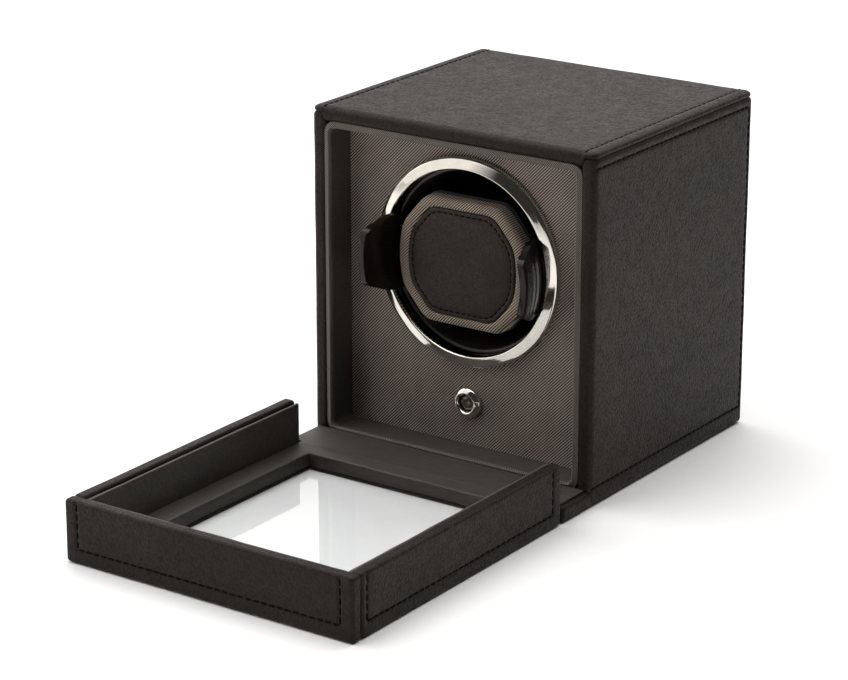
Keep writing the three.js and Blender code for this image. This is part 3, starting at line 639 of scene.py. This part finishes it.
def board_finish(name, colour):
    """Greyboard, with its fibres lying along X."""
    f = Finish(name, colour, 0.85)
    fibres = f.noise(0.9, detail=4.0, rough=0.7, place=f.stretched(0.25, 1, 1))
    f.drive("Base Color", f.blend(f.spread(fibres), toned(colour, 0.7), colour))
    f.bump(fibres, depth=0.08, strength=0.6)
    return f.material


def circuit_finish(name):
    """Green solder mask over copper tracks, with pads."""
    f = Finish(name, (22, 82, 46), 0.35, Coat_Weight=0.3, Coat_Roughness=0.2)
    tracks = f.scaled(f.cells(5.0, f.stretched(1, 0.55, 1), "DISTANCE_TO_EDGE"), 0.04, 0.06, 1.0, 0.0)
    pads = f.scaled(f.cells(4.0, feature="F1"), 0.16, 0.19, 1.0, 0.0)
    green = f.blend(tracks, (20, 74, 42), (42, 120, 66))
    f.drive("Base Color", f.blend(pads, green, (196, 186, 160)))
    f.drive("Metallic", f.scaled(pads, 0.0, 1.0, 0.0, 0.8))
    f.bump(f.sums("ADD", tracks, pads), depth=0.05, strength=0.6)
    return f.material


def glass_finish(name):
    """Clear flat glass that lets lamps through to what lies under it, with faint dust."""
    f = Finish(name, (238, 239, 239), 0.02, IOR=1.5, Transmission_Weight=1.0)
    f.drive("Roughness", f.scaled(f.noise(20, detail=5.0, rough=0.7), 0.5, 0.8, 0.0, 0.05))
    clear = f.node("ShaderNodeBsdfTransparent", {"Color": (0.84, 0.84, 0.84, 1)})
    shadow = f.node("ShaderNodeLightPath").outputs["Is Shadow Ray"]
    lamp = f.node("ShaderNodeMixShader", {0: shadow, 1: f.shader.outputs[0], 2: clear.outputs[0]})
    f.tree.links.new(lamp.outputs[0], f.tree.nodes["Material Output"].inputs["Surface"])
    return f.material


def lens_finish(name):
    """Smoky moulded lens with clouds in it."""
    f = Finish(name, (84, 78, 70), 0.12, Coat_Weight=0.6, Coat_Roughness=0.05, IOR=1.49)
    cloud = f.noise(1.6, detail=3.0)
    f.drive("Base Color", f.blend(f.spread(cloud), (58, 53, 47), (104, 97, 88)))
    f.drive("Roughness", f.spread(cloud, 0.08, 0.2))
    f.bump(f.noise(0.7), depth=0.01, strength=0.4)
    return f.material


LEATHER = leather_finish("leather_black", (24, 18, 14), (44, 36, 30))
PATCH_LEATHER = leather_finish("leather_patch", (38, 32, 28), (66, 58, 52), grain=0.8)
THREAD_BLACK = plastic_finish("thread_black", (5, 5, 5), 0.8, grain=0.15, depth=0.05, shine=0.08)
TWILL = twill_finish("twill_ribbed", (9, 6, 5), (172, 157, 147), pitch=0.96)
FINE_TWILL = twill_finish("twill_fine", (9, 6, 5), (172, 155, 138), pitch=0.94, lean=0.0)
LIP_TWILL = twill_finish("twill_lip", (10, 8, 7), (120, 110, 100), pitch=0.6)
REVEAL = satin_finish("satin_reveal", (30, 26, 22), (66, 60, 54))
SATIN = satin_finish("satin_lining", (26, 22, 18), (60, 53, 47))
WALL_SATIN = satin_finish("satin_wall", (30, 26, 22), (70, 63, 56))
CHROME = chrome_finish("chrome_polished", (222, 217, 208))
STEEL = metal_finish("steel_brushed", (166, 166, 164), 0.32)
ZINC = metal_finish("steel_plated", (176, 174, 168), 0.28, brushed=False)
BRASS = metal_finish("brass_turned", (190, 156, 92), 0.3)
MATTE = plastic_finish("plastic_matte", (25, 25, 26), 0.6)
GLOSS = gloss_finish("plastic_gloss", (17, 13, 11))
CUP_PLASTIC = plastic_finish("plastic_cup", (46, 39, 34), 0.38, grain=0.5, depth=0.01)
NYLON = plastic_finish("nylon_white", (214, 212, 204), 0.45, grain=0.5)
BOARD = board_finish("retainer_greyboard", (138, 116, 84))
CIRCUIT = circuit_finish("circuit_green")
GLASS = glass_finish("glass_clear")
LENS = lens_finish("lens_smoky")


# ---------- case ----------

def case_seams():
    """Stitch lines of the top and of the two side panels."""
    top = []
    across = TOP_HIGH.x - TOP_SEAM
    near, far = FRONT + TOP_SEAM_END, TOP_HIGH.y - TOP_SEAM_END
    for _, s in SIDES:
        ends = [(s * across, near, TOP_HIGH.z), (s * across, far, TOP_HIGH.z)]
        top += seams_through(ends, (0, 0, 1))
    sides = {}
    high, low = TOP_HIGH.z - TOP_ROLL - SIDE_SEAM, FOOT_SEAM
    near, far = FRONT + SIDE_SEAM_END, SIDE_HIGH.y - SIDE_SEAM
    for name, s in SIDES:
        x = s * SIDE_OUT
        corners = [(x, near, high), (x, far, high), (x, far, low), (x, near, low)]
        sides[name] = seams_through(corners, (s, 0, 0))
    return top, sides


def top_edge(point):
    """Outside its seams the top thins to a rolled edge, and the side panels rise to meet it."""
    thick = TOP_HIGH.z - TOP_LOW.z
    past_seam = abs(point.x) - (TOP_HIGH.x - TOP_SEAM)
    reach = min(1.0, max(0.0, (past_seam + TOP_STEP / 2) / TOP_STEP))
    share = (TOP_HIGH.z - point.z) / thick
    point.z += share * (thick - TOP_ROLL) * reach * reach * (3 - 2 * reach)
    return point


def make_case():
    top, sides = case_seams()
    shape = board(TOP_LOW, TOP_HIGH, TOP_ROUND, top, warp=top_edge)
    add_piece("top_leather", shape, LEATHER, "case", ["top_panel"])
    for name, s in SIDES:
        xs = sorted((s * SIDE_LOW.x, s * SIDE_OUT))
        low = Vector((xs[0], FRONT + SIDE_INSET, SIDE_FOOT))
        high = Vector((xs[1], SIDE_HIGH.y, TOP_HIGH.z - TOP_ROLL + UNDER_TOP))
        shape = board(low, high, SIDE_ROLL, sides[name])
        add_piece(f"side_leather_{name}", shape, LEATHER, "case", [f"side_panel_{name}"])
    shape = board(BASE_LOW, BASE_HIGH, BASE_ROLL)
    add_piece("base_leather", shape, LEATHER, "case", ["base_panel"])
    shape = stitching(top + sides["left"] + sides["right"])
    add_piece("case_stitching", shape, THREAD_BLACK, "case")
    dress(LEATHER, "back_panel")


# ---------- front ----------

OPENING_LINING = 1.7  # thickness of the lining round the opening
OPENING_CORNER = 3
# The twill lip round the opening: (outwards from the opening, behind the case's front).
LIP_PROFILE = (
    (0.05, 1.6), (0.0, 0.9), (0.25, 0.2), (0.75, -0.12),
    (1.25, 0.0), (1.65, 0.3), (2.9, 0.55), (2.9, 1.6),
)
# The polished ring's face: (inwards from its rim, behind its crest).
RING_FACE = (
    (0.0, 2.4), (0.15, 1.75), (0.6, 1.2), (1.4, 0.88), (2.4, 0.6), (3.4, 0.33),
    (4.3, 0.1), (4.8, 0.05), (5.2, 0.45), (5.5, 1.2), (5.6, 2.0),
)


def make_opening():
    """The twill lip at the case's front and the satin reveal between it and the front plate."""
    half = LIP_HIGH.x - OPENING_LINING
    low, high = LIP_LOW.z + OPENING_LINING, LIP_HIGH.z - OPENING_LINING
    lip = [(out, FRONT + y) for out, y in LIP_PROFILE]
    shape = swept_frame(half, low, high, OPENING_CORNER, lip)
    add_piece("opening_lip", shape, LIP_TWILL, "case", ["opening_frame"])
    mouth, foot = FRONT + 1.3, PLATE_FRONT - 0.35
    reveal = [(0.2, mouth), (0.15, PLATE_FRONT - 2.0), (-0.25, foot), (1.5, foot), (1.5, mouth)]
    shape = swept_frame(half, low, high, OPENING_CORNER, reveal)
    add_piece("opening_reveal", shape, REVEAL, "case", ["opening_frame"])
    dress(TWILL, "front_plate")


def make_ring():
    outer, back = RING_HIGH.x, RING_HIGH.y
    face = [(outer - inwards, RING_LOW.y + behind) for inwards, behind in RING_FACE]
    bore, collar_in, collar_out = outer - 5.6, outer - 4.7, outer - 3.7
    collar = [(collar_in, PLATE_SEAT), (collar_in, back), (collar_out, back), (collar_out, PLATE_SEAT)]
    profile = [(outer, PLATE_SEAT)] + smooth_curve(face) + [(bore, PLATE_SEAT - 0.4)] + collar
    shape = turned(profile, AXIS_Z, segments=160)
    add_piece("bezel_ring_polished", shape, CHROME, "case", ["bezel_ring"])


def make_cup():
    """The turning drum: a cup with a rounded floor and rim, and a hub with a groove for its clip."""
    outer, inner, fillet = CUP_HIGH.x, CUP_HIGH.x - 1.6, 5
    rim, floor, back, end = CUP_LOW.y, 8.0, 10.0, CUP_HIGH.y
    profile = [(0, floor)]
    for degrees in range(90, -1, -15):
        turn = radians(degrees)
        profile.append((inner - fillet * (1 - cos(turn)), floor - fillet * (1 - sin(turn))))
    profile += [(inner, rim + 0.7), (inner + 0.25, rim + 0.2), (inner + 0.8, rim)]
    profile += [(outer - 0.2, rim + 0.1), (outer, rim + 0.5), (outer, back)]
    hub, groove, near, far = 4.0, 3.2, end - 2.2, end - 1.1
    profile += [(hub, back), (hub, near), (groove, near), (groove, far), (hub, far), (hub, end), (0, end)]
    shape = turned(profile, AXIS_Z, segments=128)
    add_piece("rotor_cup_moulded", shape, CUP_PLASTIC, "drum", ["rotor_cup"])


def make_bezel():
    radius, sleeve, bore = BEZEL_HIGH.x, 5.9, 3.7
    front, back = BEZEL_LOW.y, BEZEL_HIGH.y
    dome = [(bore, front + 1.3), (bore + 0.25, front + 0.5), (bore + 0.9, front)]
    dome += [(radius - 1.5, front + 0.4), (radius - 0.4, front + 1.4), (radius, PLATE_SEAT)]
    profile = smooth_curve(dome) + [(sleeve, PLATE_SEAT), (sleeve, back), (bore, back)]
    shape = turned(profile, BUTTON_Z)
    add_piece("button_bezel_polished", shape, CHROME, "case", ["button_bezel"])


def make_button():
    radius, stem = BUTTON_HIGH.x, 1.3
    front, back = BUTTON_LOW.y, BUTTON_HIGH.y
    shank = front + 7.5
    crown = [(0, front), (radius * 0.5, front + 0.1), (radius - 0.7, front + 0.45)]
    crown += [(radius - 0.1, front + 1.0), (radius, front + 1.6)]
    profile = smooth_curve(crown) + [(radius, shank), (stem, shank), (stem, back), (0, back)]
    shape = turned(profile, BUTTON_Z, segments=64)
    add_piece("power_button_lens", shape, LENS, "button", ["power_button"])


def coiled(radius, wire, turns, start, end):
    """A wire wound about the button's axis."""
    steps, sides = 20, 8
    layers = []
    for i in range(turns * steps + 1):
        share = i / (turns * steps)
        angle = 2 * pi * turns * share
        out = Vector((cos(angle), 0, sin(angle)))
        centre = Vector((0, start + (end - start) * share, BUTTON_Z)) + out * radius
        ring = []
        for k in range(sides):
            turn = 2 * pi * k / sides
            ring.append(centre + (out * cos(turn) + Vector((0, 1, 0)) * sin(turn)) * wire)
        layers.append(ring)
    return loft(layers)


def make_spring():
    """The button's return spring, wound at one fixed length."""
    wire, turns, stroke = 0.28, 4, 1.2
    shape = coiled(SPRING_HIGH.x - wire, wire, turns, SPRING_LOW.y + wire, SPRING_HIGH.y - wire)
    spring = add_piece("button_spring_wound", shape, ZINC, "case", ["button_spring"])
    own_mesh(spring)


# ---------- cuff ----------

CUFF_BOW = 1.01  # the cuff's sides bow out to this share of its half width
CAP_EDGE = 2.4  # radius of the cap's rounded edge
PATCH_INSET = 2.0  # from the patch's edge to its stitching
# The patch's face, dipping under its stitching and padded in the middle: (inset, behind its front).
PATCH_FACE = (
    (0.7, 0.0), (1.3, 0.02), (1.7, 0.2), (2.0, 0.34), (2.3, 0.2),
    (2.8, 0.0), (5, -0.1), (9, -0.18), (15, -0.25), (20, -0.28),
)


def cuff_outline(half_width, half_height, y):
    """The cuff's ten-cornered outline at one depth."""
    flat, shoulder_x, shoulder_z = half_width * 0.58, half_width * 0.94, half_height * 0.5
    reach = min(4.0, half_height * 0.18)
    long_reach = min(7.0, half_height * 0.3)
    right = [
        (flat, -half_height, reach),
        (shoulder_x, -shoulder_z, reach),
        (half_width * CUFF_BOW, 0, long_reach),
        (shoulder_x, shoulder_z, reach),
        (flat, half_height, reach),
    ]
    left = [(-x, -z, rounding) for x, z, rounding in right]
    corners = [left[-1], *right, *left[:-1]]
    return [Vector((p.x, y, AXIS_Z + p.y)) for p in corner_path(corners)]


def cuff_layers(half_width, half_height, steps):
    """Outlines at (inset across, inset up and down, depth) steps."""
    return [cuff_outline(half_width - x, half_height - z, y) for x, z, y in steps]


def patch_size():
    """Half the patch's width, before its sides bow out, and half its height."""
    return PATCH_HIGH.x / CUFF_BOW, (PATCH_HIGH.z - PATCH_LOW.z) / 2


def make_cap():
    half, tall = CAP_HIGH.x / CUFF_BOW, (CAP_HIGH.z - CAP_LOW.z) / 2
    wide, high = patch_size()
    front, back = CAP_LOW.y, CAP_HIGH.y
    steps = [(0.6, 0.6, back), (0, 0, back - 0.7)]
    for degrees in range(0, 91, 15):
        turn = radians(degrees)
        inset = CAP_EDGE * (1 - cos(turn))
        steps.append((inset, inset, front + CAP_EDGE - CAP_EDGE * sin(turn)))
    steps.append((3.6, 3.2, front - 0.1))
    well = ((-0.8, -0.7, front + 0.05), (-0.3, -0.3, front + 0.5), (-0.2, -0.2, front + 1.5))
    layers = cuff_layers(half, tall, steps) + cuff_layers(wide, high, well)
    add_piece("cuff_cap_cloth", loft(layers), FINE_TWILL, "cuff", ["cuff_cap"])


def make_patch():
    wide, high = patch_size()
    front, squash = PATCH_LOW.y, 0.92
    steps = [(0, 0, front + 1.15), (0, 0, front + 0.55), (0.25, 0.25, front + 0.2)]
    steps += [(inset, inset * squash, front + behind) for inset, behind in PATCH_FACE]
    layers = cuff_layers(wide, high, steps)
    add_piece("cuff_patch_leather", loft(layers), PATCH_LEATHER, "cuff", ["cuff_patch"])
    path = cuff_outline(wide - PATCH_INSET, high - PATCH_INSET * squash, front)
    shape = stitching([(path, Vector((0, -1, 0)))], pitch=2.9, thread=0.4, closed=True)
    add_piece("cuff_patch_stitching", shape, THREAD_BLACK, "cuff")


def make_cap_back():
    low, high, edge = CAP_BACK_LOW, CAP_BACK_HIGH, 0.3
    steps = [(edge, edge, low.y), (0, 0, low.y + edge), (0, 0, high.y - edge), (edge, edge, high.y)]
    shape = loft(cuff_layers(CAP_HIGH.x / CUFF_BOW, (high.z - low.z) / 2, steps))
    add_piece("cap_backplate_moulded", shape, MATTE, "cuff", ["cap_backplate"])


# ---------- wings ----------

# Half a wing's height at places back from its tip.
WING_HEIGHTS = (
    (0, 10.2), (0.5, 11.2), (1.4, 12.1), (3, 12.9), (11, 16.0), (14, 16.5),
    (20, 16.6), (23, 15.6), (26, 14.4), (30, 14.2), (100, 14.2),
)
WING_FLARE = 0.14  # how much the wing's radius grows per millimetre towards its tip
WING_FLARED = 20.3  # length of the flared stretch
# Shares of that half height at which its points lie, close together where the grooves end.
WING_SPANS = (
    -1, -0.97, -0.9, -0.82, -0.76, -0.7, -0.5, -0.3, 0,
    0.2, 0.4, 0.52, 0.58, 0.64, 0.75, 0.9, 0.97, 1,
)
GROOVES = 6
GROOVE_START = 2.4  # from the tip to the first groove between the ribs
GROOVE_PITCH = 3.6
GROOVE_WIDTH = 1.4
GROOVE_DEPTH = 0.55
KNUCKLE_LOW, KNUCKLE_HIGH = 6.0, 14.2  # a hinge eye's ends, above and below the axis


def wing_radii():
    """The outer and inner radius of a wing at places back from its tip."""
    wide = WING_HIGH.x
    outer = [(0.0, wide - 0.5), (0.3, wide - 0.12), (0.9, wide)]
    outer += [(WING_FLARED, wide - WING_FLARE * WING_FLARED), (22.4, 38.3), (24, 38.2), (80, 38.2)]
    inner = [(0.0, wide - 2.8), (0.9, wide - 3.1), (18, wide - 5.0), (24, 35.6), (80, 35.6)]
    return outer, inner


def groove_depth(back, share):
    """Depth of the grooves between the ribs, which stop short of the wing's edges."""
    first, last = GROOVE_START - 0.1, GROOVE_START + (GROOVES - 1) * GROOVE_PITCH + 1.5
    if not -0.8 < share < 0.62 or not first < back < last:
        return 0.0
    phase = (back - GROOVE_START) % GROOVE_PITCH
    return GROOVE_DEPTH * sin(pi * phase / GROOVE_WIDTH) if phase < GROOVE_WIDTH else 0.0


def wing_shape(sign):
    """A strip of a flared round shell, ribbed outside near its tip."""
    tip, end = WING_LOW.y, WING_HIGH.y - 0.4
    outer, inner = wing_radii()
    steps = [0, 0.3, 0.9, 2.2, WING_FLARED, 21.5, 22.4, 24, 26, 30, 38, 50, end - tip]
    for i in range(GROOVES):
        start = GROOVE_START + GROOVE_PITCH * i
        steps += [start + GROOVE_WIDTH * quarter / 4 for quarter in range(5)]
    layers = []
    for back in sorted({round(s, 2) for s in steps if s <= end - tip}):
        tall = value_at(WING_HEIGHTS, back)
        ring = []
        for share in WING_SPANS:
            ring.append((value_at(outer, back) - groove_depth(back, share), tall * share))
        for share in WING_SPANS[::-1]:
            ring.append((value_at(inner, back), tall * share))
        layers.append([(sign * sqrt(r * r - z * z), tip + back, AXIS_Z + z) for r, z in ring])
    return loft(layers)


def knuckle(sign, low, high):
    """A hinge eye with a bore that clears its pin, and a flat side towards the wing."""
    pivot = (PIN_LOW + PIN_HIGH) / 2
    bore, eye, root = (PIN_HIGH.x - PIN_LOW.x) / 2 + 0.3, 2.4, 3.9
    sides = 24

    def outline(z, bored):
        ring = []
        for k in range(sides):
            angle = 2 * pi * k / sides
            depth = reach = bore if bored else eye
            if not bored and cos(angle) > 0.5:
                reach = root
            x = pivot.x + reach * cos(angle)
            ring.append((sign * x, pivot.y + depth * sin(angle), AXIS_Z + z))
        return ring

    layers = [outline(low, False), outline(high, False), outline(high, True), outline(low, True)]
    return weld(loft(layers + layers[:1], closed_ends=False))


def make_wings():
    for name, sign in SIDES:
        eyes = [knuckle(sign, KNUCKLE_LOW, KNUCKLE_HIGH), knuckle(sign, -KNUCKLE_HIGH, -KNUCKLE_LOW)]
        shape = merged(wing_shape(sign), *eyes)
        body = f"wing_{name}"
        piece = add_piece(f"wing_{name}_moulded", shape, GLOSS, body, [body], sharp=30)
        soften(piece, 0.3, angle=50)


# ---------- cover ----------

def cover_seams():
    """Stitch lines of the cover's side walls and of its far wall. Each runs down, along and up again."""
    low, high = WALL_LOW.z + COVER_SEAM, WALL_HIGH.z - 1.0
    near, far = WALL_HIGH.y - COVER_SEAM, FAR_LOW.y + COVER_SEAM + 3
    sides = {}
    for name, s in SIDES:
        x = s * WALL_HIGH.x
        corners = [(x, near, high), (x, near, low), (x, far, low), (x, far, high)]
        sides[name] = seams_through(corners, (s, 0, 0))
    y, across = FAR_LOW.y, FAR_HIGH.x - COVER_SEAM
    corners = [(-across, y, high), (-across, y, low), (across, y, low), (across, y, high)]
    return sides, seams_through(corners, (0, -1, 0))


def make_cover_walls():
    sides, far_wall = cover_seams()
    for name, s in SIDES:
        xs = sorted((s * WALL_LOW.x, s * WALL_HIGH.x))
        low = Vector((xs[0], WALL_LOW.y - 0.25, WALL_LOW.z))
        high = Vector((xs[1], WALL_HIGH.y, WALL_HIGH.z))
        shape = board(low, high, ROLL, sides[name])
        add_piece(f"cover_leather_{name}", shape, LEATHER, "cover", [f"cover_wall_{name}"])
    shape = board(FAR_LOW, FAR_HIGH, ROLL, far_wall)
    add_piece("cover_leather_top", shape, LEATHER, "cover", ["cover_wall_top"])
    shape = stitching(sides["left"] + sides["right"] + far_wall)
    add_piece("cover_stitching", shape, THREAD_BLACK, "cover")
    for node in ("cover_lining_left", "cover_lining_right", "cover_lining_top"):
        low, high = mm_box(node)
        shape = board(low, high, 0.6, swell=0.18)
        add_piece(f"{node}_satin", shape, WALL_SATIN, "cover", [node])
    dress(LEATHER, "cover_face_frame")


# ---------- the cloth over the ledge, the hinge and the cover's floor ----------

CLOTH_THICK = 0.5
CLOTH_HALF = FLOOR_HIGH.x  # half its width inside the cover
LEDGE_HALF = 67.4  # and over the ledge
# How the cloth turns down into the window: (inwards from the window's edge, below the cloth).
WINDOW_FOLD = ((0.35, 0.12), (0.5, 0.5), (0.5, 2.6), (0.5, FLOOR_HIGH.z - GLASS_HIGH.z - 0.25))
NEAR_ENOUGH = 0.01  # places closer than this are the same grid line


def cloth_lines():
    """Grid lines across X, and along Y from the case to the cover's far wall."""
    columns, ledge_rows, window_rows = 40, 8, 30
    even = [-CLOTH_HALF + i * 2 * CLOTH_HALF / columns for i in range(columns + 1)]
    xs = sorted({round(x, 3) for x in even + [-WINDOW_HALF, WINDOW_HALF]})
    start = FRONT - 0.35
    ys = [start - i * (start - HINGE_Y) / ledge_rows for i in range(ledge_rows + 1)]
    ys += [HINGE_Y - past for past in (0.5, 1.0, 2.5, 5.0)]
    run = WINDOW_FAR - WINDOW_NEAR
    ys += [WINDOW_NEAR + i * run / window_rows for i in range(window_rows + 1)]
    ys += [WINDOW_FAR - 2.5, WINDOW_FAR - 5.5, FLOOR_LOW.y]
    return xs, ys


def cloth_height(x, y):
    """The cloth's top: slow ripples, a finer unevenness and a crease along the hinge."""
    slow = noise.noise(Vector((x, y * 2.2, 3.0)) * 0.045)
    fine = noise.noise(Vector((x, y, 9.0)) * 0.25)
    crease = -0.28 * exp(-(((y - HINGE_Y) / 1.1) ** 2))
    return FLOOR_HIGH.z + (0.22 * slow + 0.06 * fine) + crease - 0.1


def cloth_top(xs, ys):
    """The cloth's upper face with the window left out, and its index of points by grid line."""
    index, points, faces = {}, [], []
    for j, y in enumerate(ys):
        on_ledge = y > HINGE_Y + 0.6
        for i, x in enumerate(xs):
            index[i, j] = len(points)
            spread = x * LEDGE_HALF / CLOTH_HALF if on_ledge else x
            points.append(Vector((spread, y, cloth_height(spread, y))))
    for j in range(len(ys) - 1):
        in_rows = WINDOW_NEAR >= ys[j] and ys[j + 1] >= WINDOW_FAR
        for i in range(len(xs) - 1):
            in_columns = abs(xs[i] + xs[i + 1]) < 2 * WINDOW_HALF
            if not (in_rows and in_columns):
                faces.append((index[i, j], index[i, j + 1], index[i + 1, j + 1], index[i + 1, j]))
    return points, faces, index


def window_loop(xs, ys):
    """The grid lines (column, row) round the window's edge."""
    columns = [i for i, x in enumerate(xs) if abs(x) <= WINDOW_HALF + NEAR_ENOUGH]
    rows = [j for j, y in enumerate(ys) if WINDOW_FAR - NEAR_ENOUGH <= y <= WINDOW_NEAR + NEAR_ENOUGH]
    loop = [(i, rows[0]) for i in columns] + [(columns[-1], j) for j in rows[1:]]
    return loop + [(i, rows[-1]) for i in columns[-2::-1]] + [(columns[0], j) for j in rows[-2:0:-1]]


def inwards(place, edges, reach):
    """A step towards the middle of the window from one of its edges, and no step between them."""
    if min(abs(place - edge) for edge in edges) < NEAR_ENOUGH:
        return copysign(reach, sum(edges) / 2 - place)
    return 0.0


def cloth_shape():
    """The cloth's upper face, turned down into the window."""
    xs, ys = cloth_lines()
    points, faces, index = cloth_top(xs, ys)
    loop = window_loop(xs, ys)
    rim = [index[key] for key in loop]
    for reach, drop in WINDOW_FOLD:
        ring = []
        for i, j in loop:
            x, y = xs[i], ys[j]
            side_x = inwards(x, (-WINDOW_HALF, WINDOW_HALF), reach)
            side_y = inwards(y, (WINDOW_NEAR, WINDOW_FAR), reach)
            ring.append(len(points))
            points.append(Vector((x + side_x, y + side_y, cloth_height(x, y) - drop)))
        for k in range(len(rim)):
            n = (k + 1) % len(rim)
            faces.append((rim[k], rim[n], ring[n], ring[k]))
        rim = ring
    return points, faces


def make_cloth():
    """One cloth from the case, over the ledge and the hinge, to the window and down into its recess."""
    points, faces = cloth_shape()
    mesh = bpy.data.meshes.new("tray_lining_cloth")
    mesh.from_pydata([tuple(p * MM) for p in points], [], faces)
    work = bmesh.new()
    work.from_mesh(mesh)
    bmesh.ops.recalc_face_normals(work, faces=work.faces)
    if sum(face.normal.z * face.calc_area() for face in work.faces) < 0:
        bmesh.ops.reverse_faces(work, faces=work.faces)
    area = sum(face.calc_area() for face in work.faces)
    bmesh.ops.solidify(work, geom=work.faces[:], thickness=CLOTH_THICK * MM)
    work.to_mesh(mesh)
    work.free()
    mesh.materials.append(SATIN)
    cloth = add_smooth("tray_lining_cloth", mesh, sharp=50)
    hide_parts("hinge_cloth", "cover_floor_lining")
    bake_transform(cloth)
    width, length = 2 * LEDGE_HALF * MM, (FRONT - FLOOR_LOW.y) * MM
    area = min(area, 0.999 * width * length)


# ---------- hardware kept from the frame ----------

def both(name):
    return [f"{name}_{side}" for side, _ in SIDES]


def dress_hardware():
    dress(GLASS, "glass_pane")
    dress(BOARD, "glass_retainer")
    dress(MATTE, "drum_housing", "gearbox_housing", "button_switch", "power_inlet")
    dress(MATTE, "cuff_core", "core_back_cover", *both("board_rail"))
    dress(STEEL, "motor_bracket", "drive_motor", "pinion_shaft", *both("wing_pin"))
    dress(ZINC, *[f"housing_screw_{i}" for i in range(1, 5)], *both("bracket_screw"))
    dress(ZINC, "gear_clip", "button_nut", "inlet_nut", *both("wing_spring"))
    dress(ZINC, *both("case_magnet"), *both("cover_magnet"))
    dress(BRASS, "bearing_bush", "motor_pinion")
    dress(NYLON, "drum_gear")
    dress(CIRCUIT, "control_board")


# ---------- studio, in metres except for the camera's place ----------

CAMERA_TARGET = Vector((-12.5, -64.0, 57.5))
CAMERA_AZIMUTH = radians(34.87)
CAMERA_ELEVATION = radians(18.68)
CAMERA_DISTANCE = 1271.8
CAMERA_LENS = 128.7
FLOOR_HALF = 8.0
FLOOR_DEPTH = -0.0003  # the paper lies just under the box
BRIGHT_SIDE = (-0.85, 0.35, 0.3)  # where the bright half of the studio lies


def add_camera():
    data = bpy.data.cameras.new("camera")
    data.lens = CAMERA_LENS
    data.sensor_width, data.clip_end = 36, 50
    camera = linked("camera", data)
    level = cos(CAMERA_ELEVATION)
    sideways, forwards = sin(CAMERA_AZIMUTH) * level, -cos(CAMERA_AZIMUTH) * level
    back = Vector((sideways, forwards, sin(CAMERA_ELEVATION)))
    camera.location = (CAMERA_TARGET + back * CAMERA_DISTANCE) * MM
    camera.rotation_euler = back.to_track_quat("Z", "Y").to_euler()
    bpy.context.scene.camera = camera


def add_softbox(name, place, aim, size, power):
    data = bpy.data.lights.new(name, "AREA")
    data.shape = "RECTANGLE"
    data.size, data.size_y = size
    data.energy = power
    light = linked(name, data)
    light.location = place
    light.rotation_euler = (Vector(place) - Vector(aim)).to_track_quat("Z", "Y").to_euler()


def add_floor():
    corners = ((-1, -1), (1, -1), (1, 1), (-1, 1))
    mesh = bpy.data.meshes.new("studio_floor")
    mesh.from_pydata([(FLOOR_HALF * x, FLOOR_HALF * y, FLOOR_DEPTH) for x, y in corners], [], [(0, 1, 2, 3)])
    f = Finish("studio_paper", (246, 246, 246), 0.9)
    f.drive("Base Color", f.blend(f.noise(400), (245, 245, 245), (249, 249, 249)))
    mesh.materials.append(f.material)
    linked("studio_floor", mesh)


def add_world():
    """A studio that is bright on one side and dark on the other, for the chrome to mirror."""
    world = bpy.data.worlds.new("studio")
    world.use_nodes = True
    bpy.context.scene.world = world
    nodes, link = world.node_tree.nodes, world.node_tree.links.new
    shade = nodes["Background"]
    place = nodes.new("ShaderNodeTexCoord")
    towards = nodes.new("ShaderNodeVectorMath")
    towards.operation = "DOT_PRODUCT"
    towards.inputs[1].default_value = BRIGHT_SIDE
    ramp = nodes.new("ShaderNodeValToRGB")
    link(place.outputs["Generated"], towards.inputs[0])
    link(towards.outputs["Value"], ramp.inputs[0])
    link(ramp.outputs[0], shade.inputs["Color"])
    dark, bright = ramp.color_ramp.elements
    dark.position, dark.color = 0.04, (0.03, 0.029, 0.028, 1)
    bright.position, bright.color = 0.2, (1.0, 0.985, 0.96, 1)
    shade.inputs["Strength"].default_value = 1.2


make_case()
make_opening()
make_ring()
make_cup()
make_bezel()
make_button()
make_spring()
make_cap()
make_patch()
make_cap_back()
make_wings()
make_cover_walls()
make_cloth()
dress_hardware()
add_camera()
add_floor()
add_world()
add_softbox("softbox_top", (-0.1, 0.15, 2.0), (0, -0.05, 0.05), (3.2, 2.8), 50)
add_softbox("softbox_left", (-1.6, -0.5, 0.9), (0, -0.05, 0.08), (0.9, 1.2), 6)
bpy.context.scene.view_settings.view_transform = "Standard"
